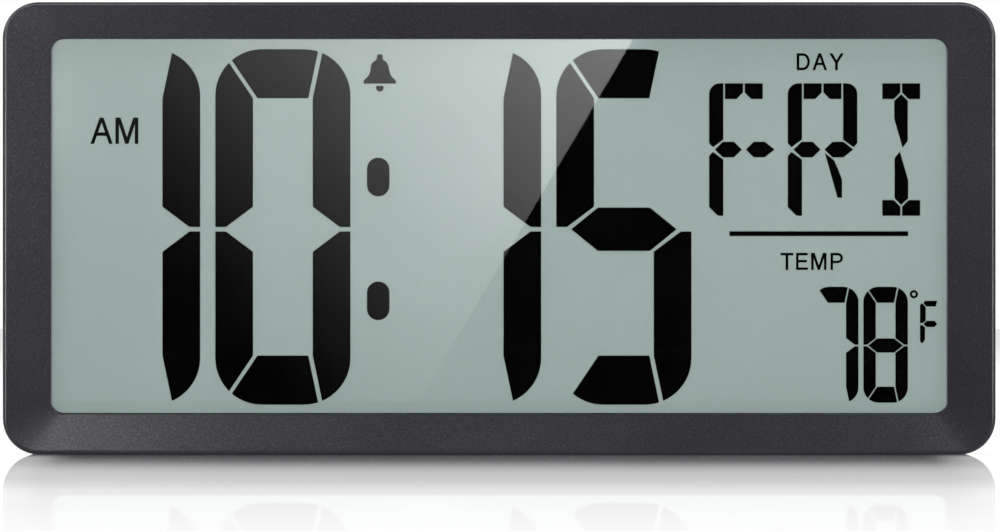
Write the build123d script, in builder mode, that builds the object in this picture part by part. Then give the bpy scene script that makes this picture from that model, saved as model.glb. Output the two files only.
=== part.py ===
import os
from build123d import *

# A digital wall clock. Millimetres, +Z up, the display faces -Y, and the origin is at the
# middle of the lower edge that the clock stands on. Depths are given as setbacks: how far a
# plane lies behind the foremost rim of the bezel.

# Case
case_width = 360.0
case_height = 164.0
case_depth = 28.0
case_corner = 13.0
front_shell_depth = 16.0
wall = 2.2
back_plate = 2.0
rim_round = 1.5
rear_round = 2.0
seam_chamfer = 0.5
tongue_thick = 1.2
tongue_depth = 2.0
shell_fit = 0.2

# Bezel bands around the window
side_band = 17.5
top_band = 13.3
bottom_band = 14.6
window_corner = 4.6
face_drop = 2.0
window_lip = 1.2
window_edge_round = 0.3

# Display stack, front to back
tape_thick = 0.2
tape_setback = 0.8
window_thick = 1.5
window_overlap = 4.0
gasket_thick = 0.4
gasket_setback = 0.5
gasket_rise = 0.8
glass_thick = 1.1
glass_overlap = 2.5
contact_ledge = 3.2
cell_gap = 0.3
segment_thick = 0.2
seal_width = 1.5
reflector_thick = 0.2
reflector_margin = 1.0
pane_corner = 2.0

# Display artwork
sign_column = 40.1
info_column = 92.6
time_top_margin = 3.6
time_base_margin = 3.3
digit_gap = 5.5
colon_gap = 20.2
colon_dot_width = 8.2
colon_dot_height = 14.1
colon_spacing = 45.0
colon_drop = 4.5
day_title = 16.0
row_gap = 6.5
rule_drop = 2.6
rule_thick = 1.75
rule_inset = 13.8
letter_gutter = 6.4
letter_gap = 3.3
letter_margin = 3.7
temp_title = 19.3
temp_base_margin = 4.0
temp_digit_width = 16.15
temp_digit_gap = 1.8
unit_column = 13.95
degree_radius = 1.5
degree_stroke = 0.85
degree_inset = 11.75
degree_drop = 2.7
unit_width = 6.25
unit_height = 15.5
unit_margin = 3.25
unit_drop = 5.1
bell_width = 11.8
bell_height = 10.65
bell_drop = 5.45
bell_shift = 0.55
clapper_radius = 1.4
clapper_gap = 0.8
clapper_trim = 0.7

# Glass holder
holder_thick = 1.5
holder_clearance = 1.0
glass_clearance = 0.3
holder_rim = 1.5

# Circuit board
board_thick = 1.6
board_standoff = 2.4
board_side_inset = 22.0
board_gap = 8.0
board_corner = 2.0
board_hole_inset = 5.0
board_hole_rise = 15.0
board_post_radius = 2.5
board_drop = 0.5
zebra_thick = 2.4
zebra_clearance = 0.15
zebra_inset = 6.0
chip_radius = 8.0
chip_height = 2.0
chip_offset = 20.0
crystal_radius = 1.5
crystal_length = 8.0
crystal_offset = 16.0
capacitor_radius = 2.5
capacitor_height = 5.0
capacitor_pitch = 8.0
thermistor_radius = 1.3
thermistor_stand = 4.0
thermistor_inset = 6.0
thermistor_height = 34.0
thermistor_wire = 0.25

# Push buttons and their switches
button_names = ["alarm", "down", "up", "set", "mode"]
button_radius = 3.5
button_clearance = 0.25
button_flange_radius = 4.8
button_flange_thick = 1.1
button_stem_radius = 1.6
button_sink = 0.5
button_play = 0.1
button_edge_inset = 12.0
button_row_drop = 8.0
button_row_gap = 3.5
button_recess = 1.2
button_recess_margin = 2.6
button_pad = 2.0
switch_size = 6.0
switch_height = 3.5
plunger_radius = 1.5
plunger_height = 1.0
plunger_sunk = 0.7
plunger_room = 1.3
plunger_clearance = 0.3

# Batteries
cell_radius = 7.1
cell_length = 50.5
cell_nub_radius = 2.75
cell_nub_height = 1.3
cell_pitch = 15.0
cell_count = 4
cell_clearance = 0.3
well_wall = 1.5
well_height = 58.0
contact_thick = 0.5
contact_size = 10.0
contact_bow = 2.5
contact_dimple = 1.0
contact_dimple_radius = 2.2
bow_thick = 0.4
bow_span = 9.0
bow_width = 7.0

# Battery door
door_thick = 1.8
door_ledge = 3.2
door_clearance = 0.3
door_sink = 0.1
door_frame = 1.6
door_barrel_radius = 1.3
door_pin_radius = 0.8
door_pin_length = 1.2
door_tab_width = 10.0
door_tab_length = 2.4
door_scoop_width = 18.0
door_scoop_length = 7.0
door_scoop_corner = 4.0
door_grip_count = 5
door_grip_width = 24.0
door_grip_pitch = 2.4
door_grip_groove = 1.1
door_grip_depth = 0.5
door_grip_rise = 6.0
door_arrow_radius = 3.2
door_arrow_gap = 5.5
pin_clearance = 0.05

# Stand legs
leg_side_inset = 60.0
leg_width = 15.2
leg_thick = 5.0
leg_length = 49.0
leg_height = 9.0
leg_sink = 0.3
leg_clearance = 0.4
leg_skin = 1.6
leg_pin_radius = 1.5
leg_pin_length = 1.6
leg_finger_room = 9.0
leg_tip_round = 3.0
leg_grip_count = 3
leg_grip_pitch = 2.2
leg_grip_groove = 1.0
leg_grip_depth = 0.5
leg_grip_drop = 6.0
pocket_wall = 1.8

# Wall keyholes
keyhole_spacing = 220.0
keyhole_top_inset = 38.0
keyhole_radius = 4.5
keyhole_slot_radius = 2.3
keyhole_travel = 10.0
keyhole_room = 2.0
keyhole_depth = 6.0

# Buzzer and slots
buzzer_side_inset = 105.0
buzzer_height = 84.0
buzzer_radius = 14.0
buzzer_thick = 0.3
element_radius = 10.0
element_thick = 0.25
buzzer_chamber = 3.0
buzzer_ring = 2.0
buzzer_seat = 1.5
slot_width = 1.6
slot_pitch = 4.0
sound_slot_count = 5
sound_slot_length = 16.0
vent_slot_count = 5
vent_slot_length = 12.0

# Screws
thread_clearance = 0.05
cover_screw_radius = 1.3
cover_head_radius = 2.5
cover_screw_length = 14.0
cover_seat_depth = 6.0
cover_boss_radius = 3.0
screw_edge = 5.4
screw_side = 7.0
cover_screw_height = 22.0
small_screw_radius = 1.0
small_head_radius = 1.9
holder_screw_length = 5.0
holder_boss_radius = 2.6
holder_screw_x = 90.0
holder_screw_height = 52.0
board_screw_length = 3.6
head_height = 1.5
head_clearance = 0.3
drive_width = 0.6
drive_depth = 0.7
boss_clearance = 0.3
boss_gap = 0.1

# Wires
battery_lead_radius = 0.7
buzzer_lead_radius = 0.5
lead_hole_clearance = 0.3
lead_reach = 8.0
lead_bend = 3.0
buzzer_lead_gap = 3.0
buzzer_lead_drop = 5.0
buzzer_lead_rise = 6.0
buzzer_lead_slope = 18.0
buzzer_pad_inset = 6.0

# Worked out from the sizes above
window_width = case_width - 2 * side_band
window_height = case_height - top_band - bottom_band
window_z = bottom_band + window_height / 2
window_right = window_width / 2
window_top = case_height - top_band
case_mid = (0, case_height / 2)
window_mid = (0, window_z)

front_plate = face_drop + window_lip
window_at = front_plate + tape_thick
gasket_at = window_at + window_thick
glass_at = gasket_at + gasket_thick
cell_at = glass_at + glass_thick
rear_glass_at = cell_at + cell_gap
reflector_at = rear_glass_at + glass_thick
holder_at = reflector_at + reflector_thick
holder_back = holder_at + holder_thick
board_at = holder_back + board_standoff
board_back = board_at + board_thick
switch_top = board_back + switch_height
plunger_top = switch_top + plunger_height

cavity_width = case_width - 2 * wall
cavity_height = case_height - 2 * wall
cavity_corner = case_corner - wall
tongue_inset = shell_fit + tongue_thick
tongue_at = front_shell_depth - tongue_depth
plate_at = case_depth - back_plate
boss_top = tongue_at - shell_fit

pane_width = window_width + 2 * window_overlap
pane_height = window_height + 2 * window_overlap
glass_width = window_width + 2 * glass_overlap
rear_glass_height = window_height + 2 * glass_overlap
front_glass_height = rear_glass_height + contact_ledge
front_glass_mid = (0, window_z - contact_ledge / 2)
glass_bottom = bottom_band - glass_overlap - contact_ledge

well_width = cell_length + 2 * contact_thick + contact_dimple + contact_bow
well_tall = cell_count * cell_pitch + 2 * cell_clearance
well_mid = (0, well_height)
door_top_at = case_depth - door_sink
door_at = door_top_at - door_thick
cell_mid_at = door_at - cell_clearance - cell_radius
well_floor_at = cell_mid_at - cell_radius - cell_clearance
cell_heights = [well_height + (cell_count / 2 - 0.5 - i) * cell_pitch for i in range(cell_count)]
cell_poles = [-1 if i % 2 == 0 else 1 for i in range(cell_count)]

leg_x = case_width / 2 - leg_side_inset
leg_back_at = case_depth - leg_sink
leg_front_at = leg_back_at - leg_thick
leg_axis_at = leg_back_at - leg_thick / 2
leg_tip = leg_height + leg_length
pocket_width = leg_width + 2 * leg_clearance
pocket_bottom = leg_height - leg_thick / 2 - leg_clearance
pocket_top = leg_tip + leg_finger_room
pocket_floor_at = leg_front_at - leg_sink
pocket_tall = pocket_top - pocket_bottom
pocket_z = (pocket_top + pocket_bottom) / 2

board_left = well_width / 2 + well_wall + board_gap
board_right = case_width / 2 - board_side_inset
board_width = board_right - board_left
board_bottom = glass_bottom - board_drop
button_panel_height = 2 * (button_radius + button_recess_margin)
button_z = pocket_top + pocket_wall + button_row_gap + button_panel_height / 2
board_top = button_z + button_row_drop
board_height = board_top - board_bottom
board_mid = ((board_left + board_right) / 2, board_bottom + board_height / 2)
board_holes = [
    (x, z)
    for x in (board_left + board_hole_inset, board_right - board_hole_inset)
    for z in (board_bottom + board_hole_rise, board_top - board_hole_inset)
]
zebra_z = glass_bottom + contact_ledge / 2
zebra_length = board_width - 2 * zebra_inset

button_first = board_left + button_edge_inset
button_last = board_right - button_edge_inset
button_step = (button_last - button_first) / (len(button_names) - 1)
button_spots = [(button_first + i * button_step, button_z) for i in range(len(button_names))]
button_floor_at = case_depth - button_recess
button_pad_at = button_floor_at - button_pad
button_panel_mid = ((button_first + button_last) / 2, button_z)
button_panel_width = button_last - button_first + button_panel_height

recess_width = well_width + 2 * door_ledge
recess_tall = well_tall + 2 * door_ledge
recess_top = well_height + recess_tall / 2
recess_bottom = well_height - recess_tall / 2
door_width = recess_width - 2 * door_clearance
door_axis_at = door_top_at - door_barrel_radius
door_axis_z = recess_top - door_clearance - door_barrel_radius
door_bottom = recess_bottom + door_clearance

keyhole_z = case_height - keyhole_top_inset
keyhole_spots = [(-keyhole_spacing / 2, keyhole_z), (keyhole_spacing / 2, keyhole_z)]
keyhole_box_width = 2 * (keyhole_radius + keyhole_room)
keyhole_box_tall = keyhole_travel + keyhole_radius + keyhole_slot_radius + 2 * keyhole_room
keyhole_box_rise = (keyhole_travel + keyhole_slot_radius - keyhole_radius) / 2

buzzer_spot = (-(case_width / 2 - buzzer_side_inset), buzzer_height)
buzzer_at = plate_at - buzzer_chamber - buzzer_thick
thermistor_spot = (board_right - thermistor_inset, thermistor_height)

screw_x = case_width / 2 - screw_side
cover_spots = [(0, screw_edge), (0, case_height - screw_edge)] + [
    (side * screw_x, z)
    for side in (-1, 1)
    for z in (cover_screw_height, case_height - cover_screw_height)
]
holder_spots = [
    (side * x, z)
    for side in (-1, 1)
    for x, z in (
        (screw_x, holder_screw_height),
        (screw_x, case_height - holder_screw_height),
        (holder_screw_x, screw_edge),
        (holder_screw_x, case_height - screw_edge),
    )
]
cover_seat_at = case_depth - cover_seat_depth


# A plane parallel to the display, so many millimetres behind the rim. It looks out of the
# front, its x is the clock's X and its y is the clock's Z.
def behind(setback):
    return Plane.XZ.offset(case_depth / 2 - setback)


# The clock's Y at a setback.
def depth_y(setback):
    return setback - case_depth / 2


# A rounded rectangle drawn in the current sketch.
def rounded(width, height, corner, at, mode=Mode.ADD):
    with Locations(at):
        RectangleRounded(width, height, corner, mode=mode)


# A frame drawn in the current sketch: an outer rounded rectangle less an inner one.
def framed(outer, outer_corner, inner, inner_corner, at, inner_at):
    rounded(*outer, outer_corner, at)
    rounded(*inner, inner_corner, inner_at, mode=Mode.SUBTRACT)


# Round columns of the current part at several spots, from one setback to another.
def columns(spots, radius, start, end, mode=Mode.ADD):
    with BuildSketch(behind(start)) as section:
        with Locations(*spots):
            Circle(radius)
    extrude(section.sketch, amount=start - end, mode=mode)


# A plain block of the current part, from one setback to another.
def block(width, height, at, start, end, mode=Mode.ADD):
    with BuildSketch(behind(start)) as section:
        with Locations(at):
            Rectangle(width, height)
    extrude(section.sketch, amount=start - end, mode=mode)


# Pan-head screws driven from the back, each with a cross slot in its head.
def screws(spots, thread_radius, head_radius, seat, length):
    columns(spots, thread_radius, seat - length, seat)
    columns(spots, head_radius, seat, seat + head_height)
    with BuildSketch(behind(seat + head_height)) as slots:
        with Locations(*spots):
            Rectangle(2 * thread_radius, drive_width)
            Rectangle(drive_width, 2 * thread_radius)
    extrude(slots.sketch, amount=drive_depth, mode=Mode.SUBTRACT)


def save(builder, name):
    builder.part.label = name
    export_step(builder.part, "parts/" + name + ".step")


os.makedirs("parts", exist_ok=True)

# Front bezel: a shell whose face slopes in to the window, with bosses for both sets of screws
with BuildPart() as front_bezel:
    with BuildSketch(behind(0)):
        rounded(case_width, case_height, case_corner, case_mid)
    extrude(amount=-front_shell_depth)
    fillet(front_bezel.edges().group_by(Axis.Y)[0], rim_round)
    with BuildSketch(behind(0)):
        rounded(case_width - 2 * rim_round, case_height - 2 * rim_round, case_corner - rim_round, case_mid)
    with BuildSketch(behind(face_drop)):
        rounded(window_width, window_height, window_corner, window_mid)
    loft(ruled=True, mode=Mode.SUBTRACT)
    with BuildSketch(behind(0)):
        rounded(window_width, window_height, window_corner, window_mid)
    extrude(amount=-front_plate, mode=Mode.SUBTRACT)
    window_edge_y = depth_y(face_drop)
    fillet(front_bezel.edges().filter_by_position(Axis.Y, window_edge_y, window_edge_y), window_edge_round)
    with BuildSketch(behind(front_plate)):
        rounded(cavity_width, cavity_height, cavity_corner, case_mid)
    extrude(amount=front_plate - front_shell_depth, mode=Mode.SUBTRACT)
    columns(cover_spots, cover_boss_radius, front_plate, boss_top)
    columns(holder_spots, holder_boss_radius, front_plate, holder_at)
    cover_tip_at = cover_seat_at - cover_screw_length - head_clearance
    holder_tip_at = holder_back - holder_screw_length - head_clearance
    columns(cover_spots, cover_screw_radius + thread_clearance, cover_tip_at, boss_top, Mode.SUBTRACT)
    columns(holder_spots, small_screw_radius + thread_clearance, holder_tip_at, holder_at, Mode.SUBTRACT)
save(front_bezel, "front_bezel")

# Adhesive frame under the window pane
with BuildPart() as window_tape:
    with BuildSketch(behind(front_plate)):
        inner_tape = (window_width + 2 * tape_setback, window_height + 2 * tape_setback)
        framed((pane_width, pane_height), pane_corner, inner_tape, window_corner, window_mid, window_mid)
    extrude(amount=-tape_thick)
save(window_tape, "window_tape")

# Clear acrylic window pane
with BuildPart() as display_window:
    with BuildSketch(behind(window_at)):
        rounded(pane_width, pane_height, pane_corner, window_mid)
    extrude(amount=-window_thick)
save(display_window, "display_window")

# Foam frame between the pane and the glass, set high so that it shows as a dark line along the
# window's lower edge
with BuildPart() as lcd_gasket:
    with BuildSketch(behind(gasket_at)):
        foam_inner = (window_width + 2 * gasket_setback, window_height + 2 * gasket_setback)
        foam_corner = window_corner + gasket_setback
        foam_mid = (0, window_z + gasket_rise)
        framed((pane_width, pane_height), pane_corner, foam_inner, foam_corner, window_mid, foam_mid)
    extrude(amount=-gasket_thick)
save(lcd_gasket, "lcd_gasket")

# Front glass, whose lower ledge carries the contact pads
with BuildPart() as lcd_front_glass:
    with BuildSketch(behind(glass_at)):
        with Locations(front_glass_mid):
            Rectangle(glass_width, front_glass_height)
    extrude(amount=-glass_thick)
save(lcd_front_glass, "lcd_front_glass")

# Seal around the liquid crystal
with BuildPart() as lcd_edge_seal:
    with BuildSketch(behind(cell_at)):
        with Locations(window_mid):
            Rectangle(glass_width, rear_glass_height)
            Rectangle(glass_width - 2 * seal_width, rear_glass_height - 2 * seal_width, mode=Mode.SUBTRACT)
    extrude(amount=-cell_gap)
save(lcd_edge_seal, "lcd_edge_seal")

# Rear glass, level with the window
with BuildPart() as lcd_rear_glass:
    block(glass_width, rear_glass_height, window_mid, rear_glass_at, reflector_at)
save(lcd_rear_glass, "lcd_rear_glass")

# Reflector film on the back of the rear glass
with BuildPart() as lcd_reflector:
    reflector_width = glass_width - 2 * reflector_margin
    reflector_height = rear_glass_height - 2 * reflector_margin
    block(reflector_width, reflector_height, window_mid, reflector_at, holder_at)
save(lcd_reflector, "lcd_reflector")

# Proportions of a seven-segment numeral, as shares of its width or its height
stroke_share = 0.279
bar_share = 0.138
middle_share = 0.122
corner_share = 0.345
joint_share = 0.033
waist_share = 0.0065
steep_lean = 0.076
slant_lean = 0.245
tip_share = 0.11
point_share = 0.197
notch_flat = 0.079
notch_rise = 0.057
lit_segments = {"0": "abcdef", "1": "bc", "5": "acdfg", "7": "abc", "8": "abcdefg"}
segment_at = cell_at + (cell_gap - segment_thick) / 2
segment_plane = behind(segment_at)


# Corners of one segment, about the numeral's middle. The rounded outline trims them later.
def segment_corners(segment, width, height):
    side = width / 2
    waist = -waist_share * height
    stroke = stroke_share * width
    gap = joint_share * width
    if segment == "g":
        rise = middle_share * height / 2
        tip = side - tip_share * width
        flat = tip - point_share * width
        return [
            (-tip, waist), (-flat, waist - rise), (flat, waist - rise),
            (tip, waist), (flat, waist + rise), (-flat, waist + rise),
        ]
    up = 1 if segment in "abf" else -1
    end = up * height / 2
    bar = end - up * bar_share * height
    if segment in "ad":
        left = -side + stroke + gap
        right = side - stroke - gap
        left_tip = left - slant_lean * width
        right_tip = right + steep_lean * width
        return [(left, bar), (left_tip, end), (right_tip, end), (right, bar)]
    root = waist + up * gap / 2
    notch = root + up * notch_rise * height
    hand = 1 if segment in "bc" else -1
    inner = hand * (side - stroke)
    lean = steep_lean if segment in "bc" else -slant_lean
    flat = hand * (side - notch_flat * width)
    shoulder = inner + lean * width
    outer = hand * side
    return [(outer, root), (outer, end), (shoulder, end), (inner, bar), (inner, notch), (flat, root)]


# A numeral of the current part, with its lit segments as separate thin solids.
def numeral(sign, x, z, width, height):
    for segment in lit_segments[sign]:
        with BuildSketch(segment_plane) as shape:
            with Locations((x, z)):
                RectangleRounded(width, height, corner_share * width)
                Polygon(*segment_corners(segment, width, height), mode=Mode.INTERSECT)
        extrude(shape.sketch, amount=-segment_thick)


# Time: one tens stroke, then whole numerals either side of the colon
time_left = -window_right + sign_column
time_right = window_right - info_column
time_height = window_height - time_top_margin - time_base_margin
time_z = bottom_band + time_base_margin + time_height / 2
digit_width = (time_right - time_left - 2 * digit_gap - colon_gap) / (3 + stroke_share)
minute_x = time_right - digit_width / 2
ten_minute_x = minute_x - digit_width - digit_gap
hour_x = ten_minute_x - digit_width - colon_gap
ten_hour_x = hour_x - digit_width - digit_gap
colon_x = hour_x + digit_width / 2 + colon_gap / 2
colon_z = window_z - colon_drop

with BuildPart() as lcd_time_digits:
    numeral("1", ten_hour_x, time_z, digit_width, time_height)
    numeral("0", hour_x, time_z, digit_width, time_height)
    numeral("1", ten_minute_x, time_z, digit_width, time_height)
    numeral("5", minute_x, time_z, digit_width, time_height)
    with BuildSketch(segment_plane):
        with Locations((colon_x, colon_z - colon_spacing / 2), (colon_x, colon_z + colon_spacing / 2)):
            SlotOverall(colon_dot_height, colon_dot_width, rotation=90)
    extrude(amount=-segment_thick)
save(lcd_time_digits, "lcd_time_digits")

# Temperature: two small numerals, a ring for the degree and a unit letter
rule_z = window_z - rule_drop
temp_top = rule_z - temp_title
temp_height = temp_top - bottom_band - temp_base_margin
temp_z = temp_top - temp_height / 2
unit_digit_x = window_right - unit_column - temp_digit_width / 2
tens_digit_x = unit_digit_x - temp_digit_width - temp_digit_gap
degree_spot = (window_right - degree_inset, temp_top - degree_drop)
unit_spot = (window_right - unit_margin - unit_width / 2, temp_top - unit_drop - unit_height / 2)

# Strokes of the unit letter, cornered in shares of half its width and half its height
unit_strokes = {
    "top": [(-0.46, 1), (1, 1), (0.83, 0.73), (-0.26, 0.73), (-0.59, 0.86)],
    "upper": [
        (-1, 0.8), (-0.82, 0.88), (-0.69, 0.86), (-0.34, 0.7), (-0.34, 0.06), (-0.69, -0.04), (-1, -0.05),
    ],
    "middle": [(-0.61, -0.09), (-0.22, 0.06), (0.67, 0.06), (1, -0.09), (0.67, -0.23), (-0.22, -0.23)],
    "lower": [
        (-1, -0.145), (-0.73, -0.145), (-0.42, -0.255), (-0.42, -0.82), (-0.55, -0.91), (-0.79, -1), (-1, -0.9),
    ],
}

with BuildPart() as lcd_temperature_digits:
    numeral("7", tens_digit_x, temp_z, temp_digit_width, temp_height)
    numeral("8", unit_digit_x, temp_z, temp_digit_width, temp_height)
    for shares in unit_strokes.values():
        with BuildSketch(segment_plane) as stroke_face:
            with Locations(unit_spot):
                Polygon(*[(x * unit_width / 2, z * unit_height / 2) for x, z in shares])
        extrude(stroke_face.sketch, amount=-segment_thick)
    with BuildSketch(segment_plane):
        with Locations(degree_spot):
            Circle(degree_radius)
            Circle(degree_radius - degree_stroke, mode=Mode.SUBTRACT)
    extrude(amount=-segment_thick)
save(lcd_temperature_digits, "lcd_temperature_digits")

# Proportions of a day letter: shares of its width, of its height or, for the ends of its side
# strokes and bars, of half its height or of a stroke. Its leg and its stem are cornered in
# shares of half its width and half its height.
letter_stroke = 0.205
letter_bar = 0.119
letter_corner = 0.155
letter_joint = 0.023
letter_middle = 0.059
letter_chamfer = 0.095
side_inner_end = 0.15
side_tip_end = 0.035
side_outer_end = 0.096
side_tip = 0.27
heel_cut = 0.125
middle_tip = 0.4
far_middle_tip = 0.28
middle_flat = 0.97
middle_point = 1.5
middle_gap = 1.2
leg_shares = [(0.065, -0.05), (0.34, -0.164), (0.56, -0.447), (0.56, -0.727), (0.43, -0.727)]
stem_shares = [(0, 0.836), (0.19, 0.736), (0.19, 0.129), (0.04, 0.029), (-0.2, 0.46), (-0.2, 0.736)]
lit_strokes = {
    "F": ["upper_left", "lower_left", "top_left", "top_right", "mid_left", "mid_right"],
    "R": ["upper_left", "lower_left", "upper_right", "top_left", "top_right", "mid_left", "mid_right", "leg"],
    "I": ["top_left", "top_right", "base_left", "base_right", "stem_upper", "stem_lower"],
}


# Corners of one stroke of a day letter, about the letter's middle.
def stroke_corners(stroke, width, height):
    side = width / 2
    end = height / 2
    thick = letter_stroke * width
    gap = letter_joint * width
    half = letter_middle * height
    bar = end - letter_bar * height
    cut = letter_chamfer * width
    if stroke in ("upper_left", "upper_right", "lower_left"):
        heel = heel_cut * width
        tail = [(-side, end - heel), (-side + heel, end)] if stroke == "lower_left" else [(-side, end)]
        corners = tail + [
            (-side + thick, end), (-side + thick, side_inner_end * end),
            (-side + side_tip * thick, side_tip_end * end), (-side, side_outer_end * end),
        ]
    elif stroke in ("top_left", "top_right", "base_left", "base_right"):
        outer = -side + thick + gap
        corners = [
            (outer, end), (-gap / 2, end), (-gap / 2, bar + cut), (-gap / 2 - cut, bar), (outer, bar),
        ]
    elif stroke in ("mid_left", "mid_right"):
        outer = -side + middle_flat * thick
        inner = -middle_point * cut
        tip = far_middle_tip if stroke == "mid_right" else middle_tip
        corners = [
            (-side + tip * thick, 0), (outer, half), (inner, half),
            (-middle_gap * gap, 0), (inner, -half), (outer, -half),
        ]
    else:
        shares = leg_shares if stroke == "leg" else stem_shares
        corners = [(x * side, z * end) for x, z in shares]
    across = -1 if stroke.endswith("right") or stroke == "stem_lower" else 1
    over = -1 if stroke.startswith(("lower", "base")) or stroke == "stem_lower" else 1
    return [(across * x, over * z) for x, z in corners]


# Day of the week: three letters in equal cells
letter_top = window_top - day_title
letter_bottom = rule_z + row_gap
letter_height = letter_top - letter_bottom
letter_z = (letter_top + letter_bottom) / 2
letter_width = (info_column - letter_gutter - letter_margin - 2 * letter_gap) / 3
letter_first = time_right + letter_gutter + letter_width / 2

with BuildPart() as lcd_day_letters:
    for place, letter in enumerate("FRI"):
        letter_x = letter_first + place * (letter_width + letter_gap)
        for stroke in lit_strokes[letter]:
            with BuildSketch(segment_plane) as stroke_face:
                with Locations((letter_x, letter_z)):
                    RectangleRounded(letter_width, letter_height, letter_corner * letter_width)
                    Polygon(*stroke_corners(stroke, letter_width, letter_height), mode=Mode.INTERSECT)
            extrude(stroke_face.sketch, amount=-segment_thick)
save(lcd_day_letters, "lcd_day_letters")

# Alarm bell over the colon, and the rule between the day and the temperature. The bell's
# proportions are shares of half its width and of its height, its knob's of its height alone.
lip_rise = 0.115
dome_share = 0.565
neck_share = 0.68
neck_rise = 0.285
dome_rise = 0.55
crown_rise = 0.83
knob_width_share = 0.2
knob_height_share = 0.22
knob_corner_share = 0.06
bell_x = colon_x + bell_shift
bell_base = window_top - bell_drop - bell_height
rule_left = time_right + rule_inset
rule_length = window_right - rule_inset - rule_left

with BuildPart() as lcd_icons:
    with BuildSketch(segment_plane):
        with Locations(((rule_left + window_right - rule_inset) / 2, rule_z)):
            Rectangle(rule_length, rule_thick)
        with BuildLine():
            skirt = bell_width / 2
            lip_z = bell_base + lip_rise * bell_height
            neck_z = bell_base + neck_rise * bell_height
            dome_z = bell_base + dome_rise * bell_height
            crown_z = bell_base + crown_rise * bell_height
            lip_left = (bell_x - skirt, lip_z)
            lip_right = (bell_x + skirt, lip_z)
            dome_left = (bell_x - dome_share * skirt, dome_z)
            dome_right = (bell_x + dome_share * skirt, dome_z)
            foot = Line((bell_x - skirt, bell_base), (bell_x + skirt, bell_base))
            Line(foot @ 1, lip_right)
            ThreePointArc(lip_right, (bell_x + neck_share * skirt, neck_z), dome_right)
            ThreePointArc(dome_right, (bell_x, crown_z), dome_left)
            ThreePointArc(dome_left, (bell_x - neck_share * skirt, neck_z), lip_left)
            Line(lip_left, foot @ 0)
        make_face()
        with Locations((bell_x, bell_base + (1 - knob_height_share / 2) * bell_height)):
            RectangleRounded(
                knob_width_share * bell_height,
                knob_height_share * bell_height,
                knob_corner_share * bell_height,
            )
    extrude(amount=-segment_thick)
    with BuildSketch(segment_plane):
        with Locations((bell_x, bell_base - clapper_gap - clapper_trim)):
            Circle(clapper_radius)
        with Locations((bell_x, bell_base - clapper_gap)):
            Rectangle(2 * clapper_radius, clapper_radius, align=(Align.CENTER, Align.MIN), mode=Mode.SUBTRACT)
    extrude(amount=-segment_thick)
save(lcd_icons, "lcd_icons")

# Holder: a tray with a rim round the glass, let through by the cover's bosses, with board posts
with BuildPart() as lcd_holder:
    with BuildSketch(behind(holder_at)):
        rounded(
            cavity_width - 2 * holder_clearance,
            cavity_height - 2 * holder_clearance,
            cavity_corner - holder_clearance,
            case_mid,
        )
    extrude(amount=-holder_thick)
    with BuildSketch(behind(glass_at)):
        with Locations(front_glass_mid):
            rim_inner = (glass_width + 2 * glass_clearance, front_glass_height + 2 * glass_clearance)
            Rectangle(rim_inner[0] + 2 * holder_rim, rim_inner[1] + 2 * holder_rim)
            Rectangle(*rim_inner, mode=Mode.SUBTRACT)
    extrude(amount=glass_at - holder_at)
    columns(board_holes, board_post_radius, holder_back, board_at)
    columns(cover_spots, cover_boss_radius + boss_clearance, glass_at, holder_back, Mode.SUBTRACT)
    columns(holder_spots, holder_boss_radius + boss_clearance, glass_at, holder_at, Mode.SUBTRACT)
    columns(holder_spots, small_screw_radius + thread_clearance, holder_at, holder_back, Mode.SUBTRACT)
    board_tip_at = board_back - board_screw_length - thread_clearance
    columns(board_holes, small_screw_radius + thread_clearance, board_tip_at, board_at, Mode.SUBTRACT)
    zebra_slot = (zebra_length + 2 * zebra_clearance, zebra_thick + 2 * zebra_clearance)
    block(*zebra_slot, (board_mid[0], zebra_z), holder_at, holder_back, Mode.SUBTRACT)
save(lcd_holder, "lcd_holder")

# Elastomer strip from the glass ledge through the holder to the board
with BuildPart() as zebra_strip:
    block(zebra_length, zebra_thick, (board_mid[0], zebra_z), cell_at, board_at)
save(zebra_strip, "zebra_strip")

# Circuit board
with BuildPart() as circuit_board:
    with BuildSketch(behind(board_at)):
        rounded(board_width, board_height, board_corner, board_mid)
        with Locations(*board_holes):
            Circle(small_screw_radius + thread_clearance, mode=Mode.SUBTRACT)
    extrude(amount=-board_thick)
save(circuit_board, "circuit_board")

# Domed epoxy blob over the controller chip
with BuildPart() as controller_chip:
    chip_x = board_mid[0]
    chip_y = depth_y(board_back)
    chip_z = board_bottom + board_height / 2
    with BuildSketch(Plane.XY.offset(chip_z)):
        with BuildLine():
            edge = Line((chip_x, chip_y), (chip_x + chip_radius, chip_y))
            dome_arc = RadiusArc(
                edge @ 1,
                (chip_x, chip_y + chip_height),
                -(chip_radius**2 + chip_height**2) / (2 * chip_height),
            )
            Line(dome_arc @ 1, edge @ 0)
        make_face()
    revolve(axis=Axis((chip_x, chip_y, chip_z), (0, 1, 0)))
save(controller_chip, "controller_chip")

# Quartz crystal can, lying on the board
with BuildPart() as quartz_crystal:
    crystal_y = depth_y(board_back) + crystal_radius
    with BuildSketch(Plane.YZ.offset(chip_x + crystal_offset)):
        with Locations((crystal_y, chip_z)):
            Circle(crystal_radius)
    extrude(amount=crystal_length)
save(quartz_crystal, "quartz_crystal")

# Two upright capacitors
with BuildPart() as capacitors:
    capacitor_spots = [(chip_x - chip_offset, chip_z + side * capacitor_pitch / 2) for side in (-1, 1)]
    columns(capacitor_spots, capacitor_radius, board_back, board_back + capacitor_height)
save(capacitors, "capacitors")

# Thermistor bead on two bare wires
with BuildPart() as thermistor:
    wire_spots = [(thermistor_spot[0] + side * thermistor_radius / 2, thermistor_spot[1]) for side in (-1, 1)]
    columns(wire_spots, thermistor_wire, board_back, board_back + thermistor_stand)
    with Locations((thermistor_spot[0], depth_y(board_back + thermistor_stand), thermistor_spot[1])):
        Sphere(thermistor_radius)
save(thermistor, "thermistor")

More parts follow.
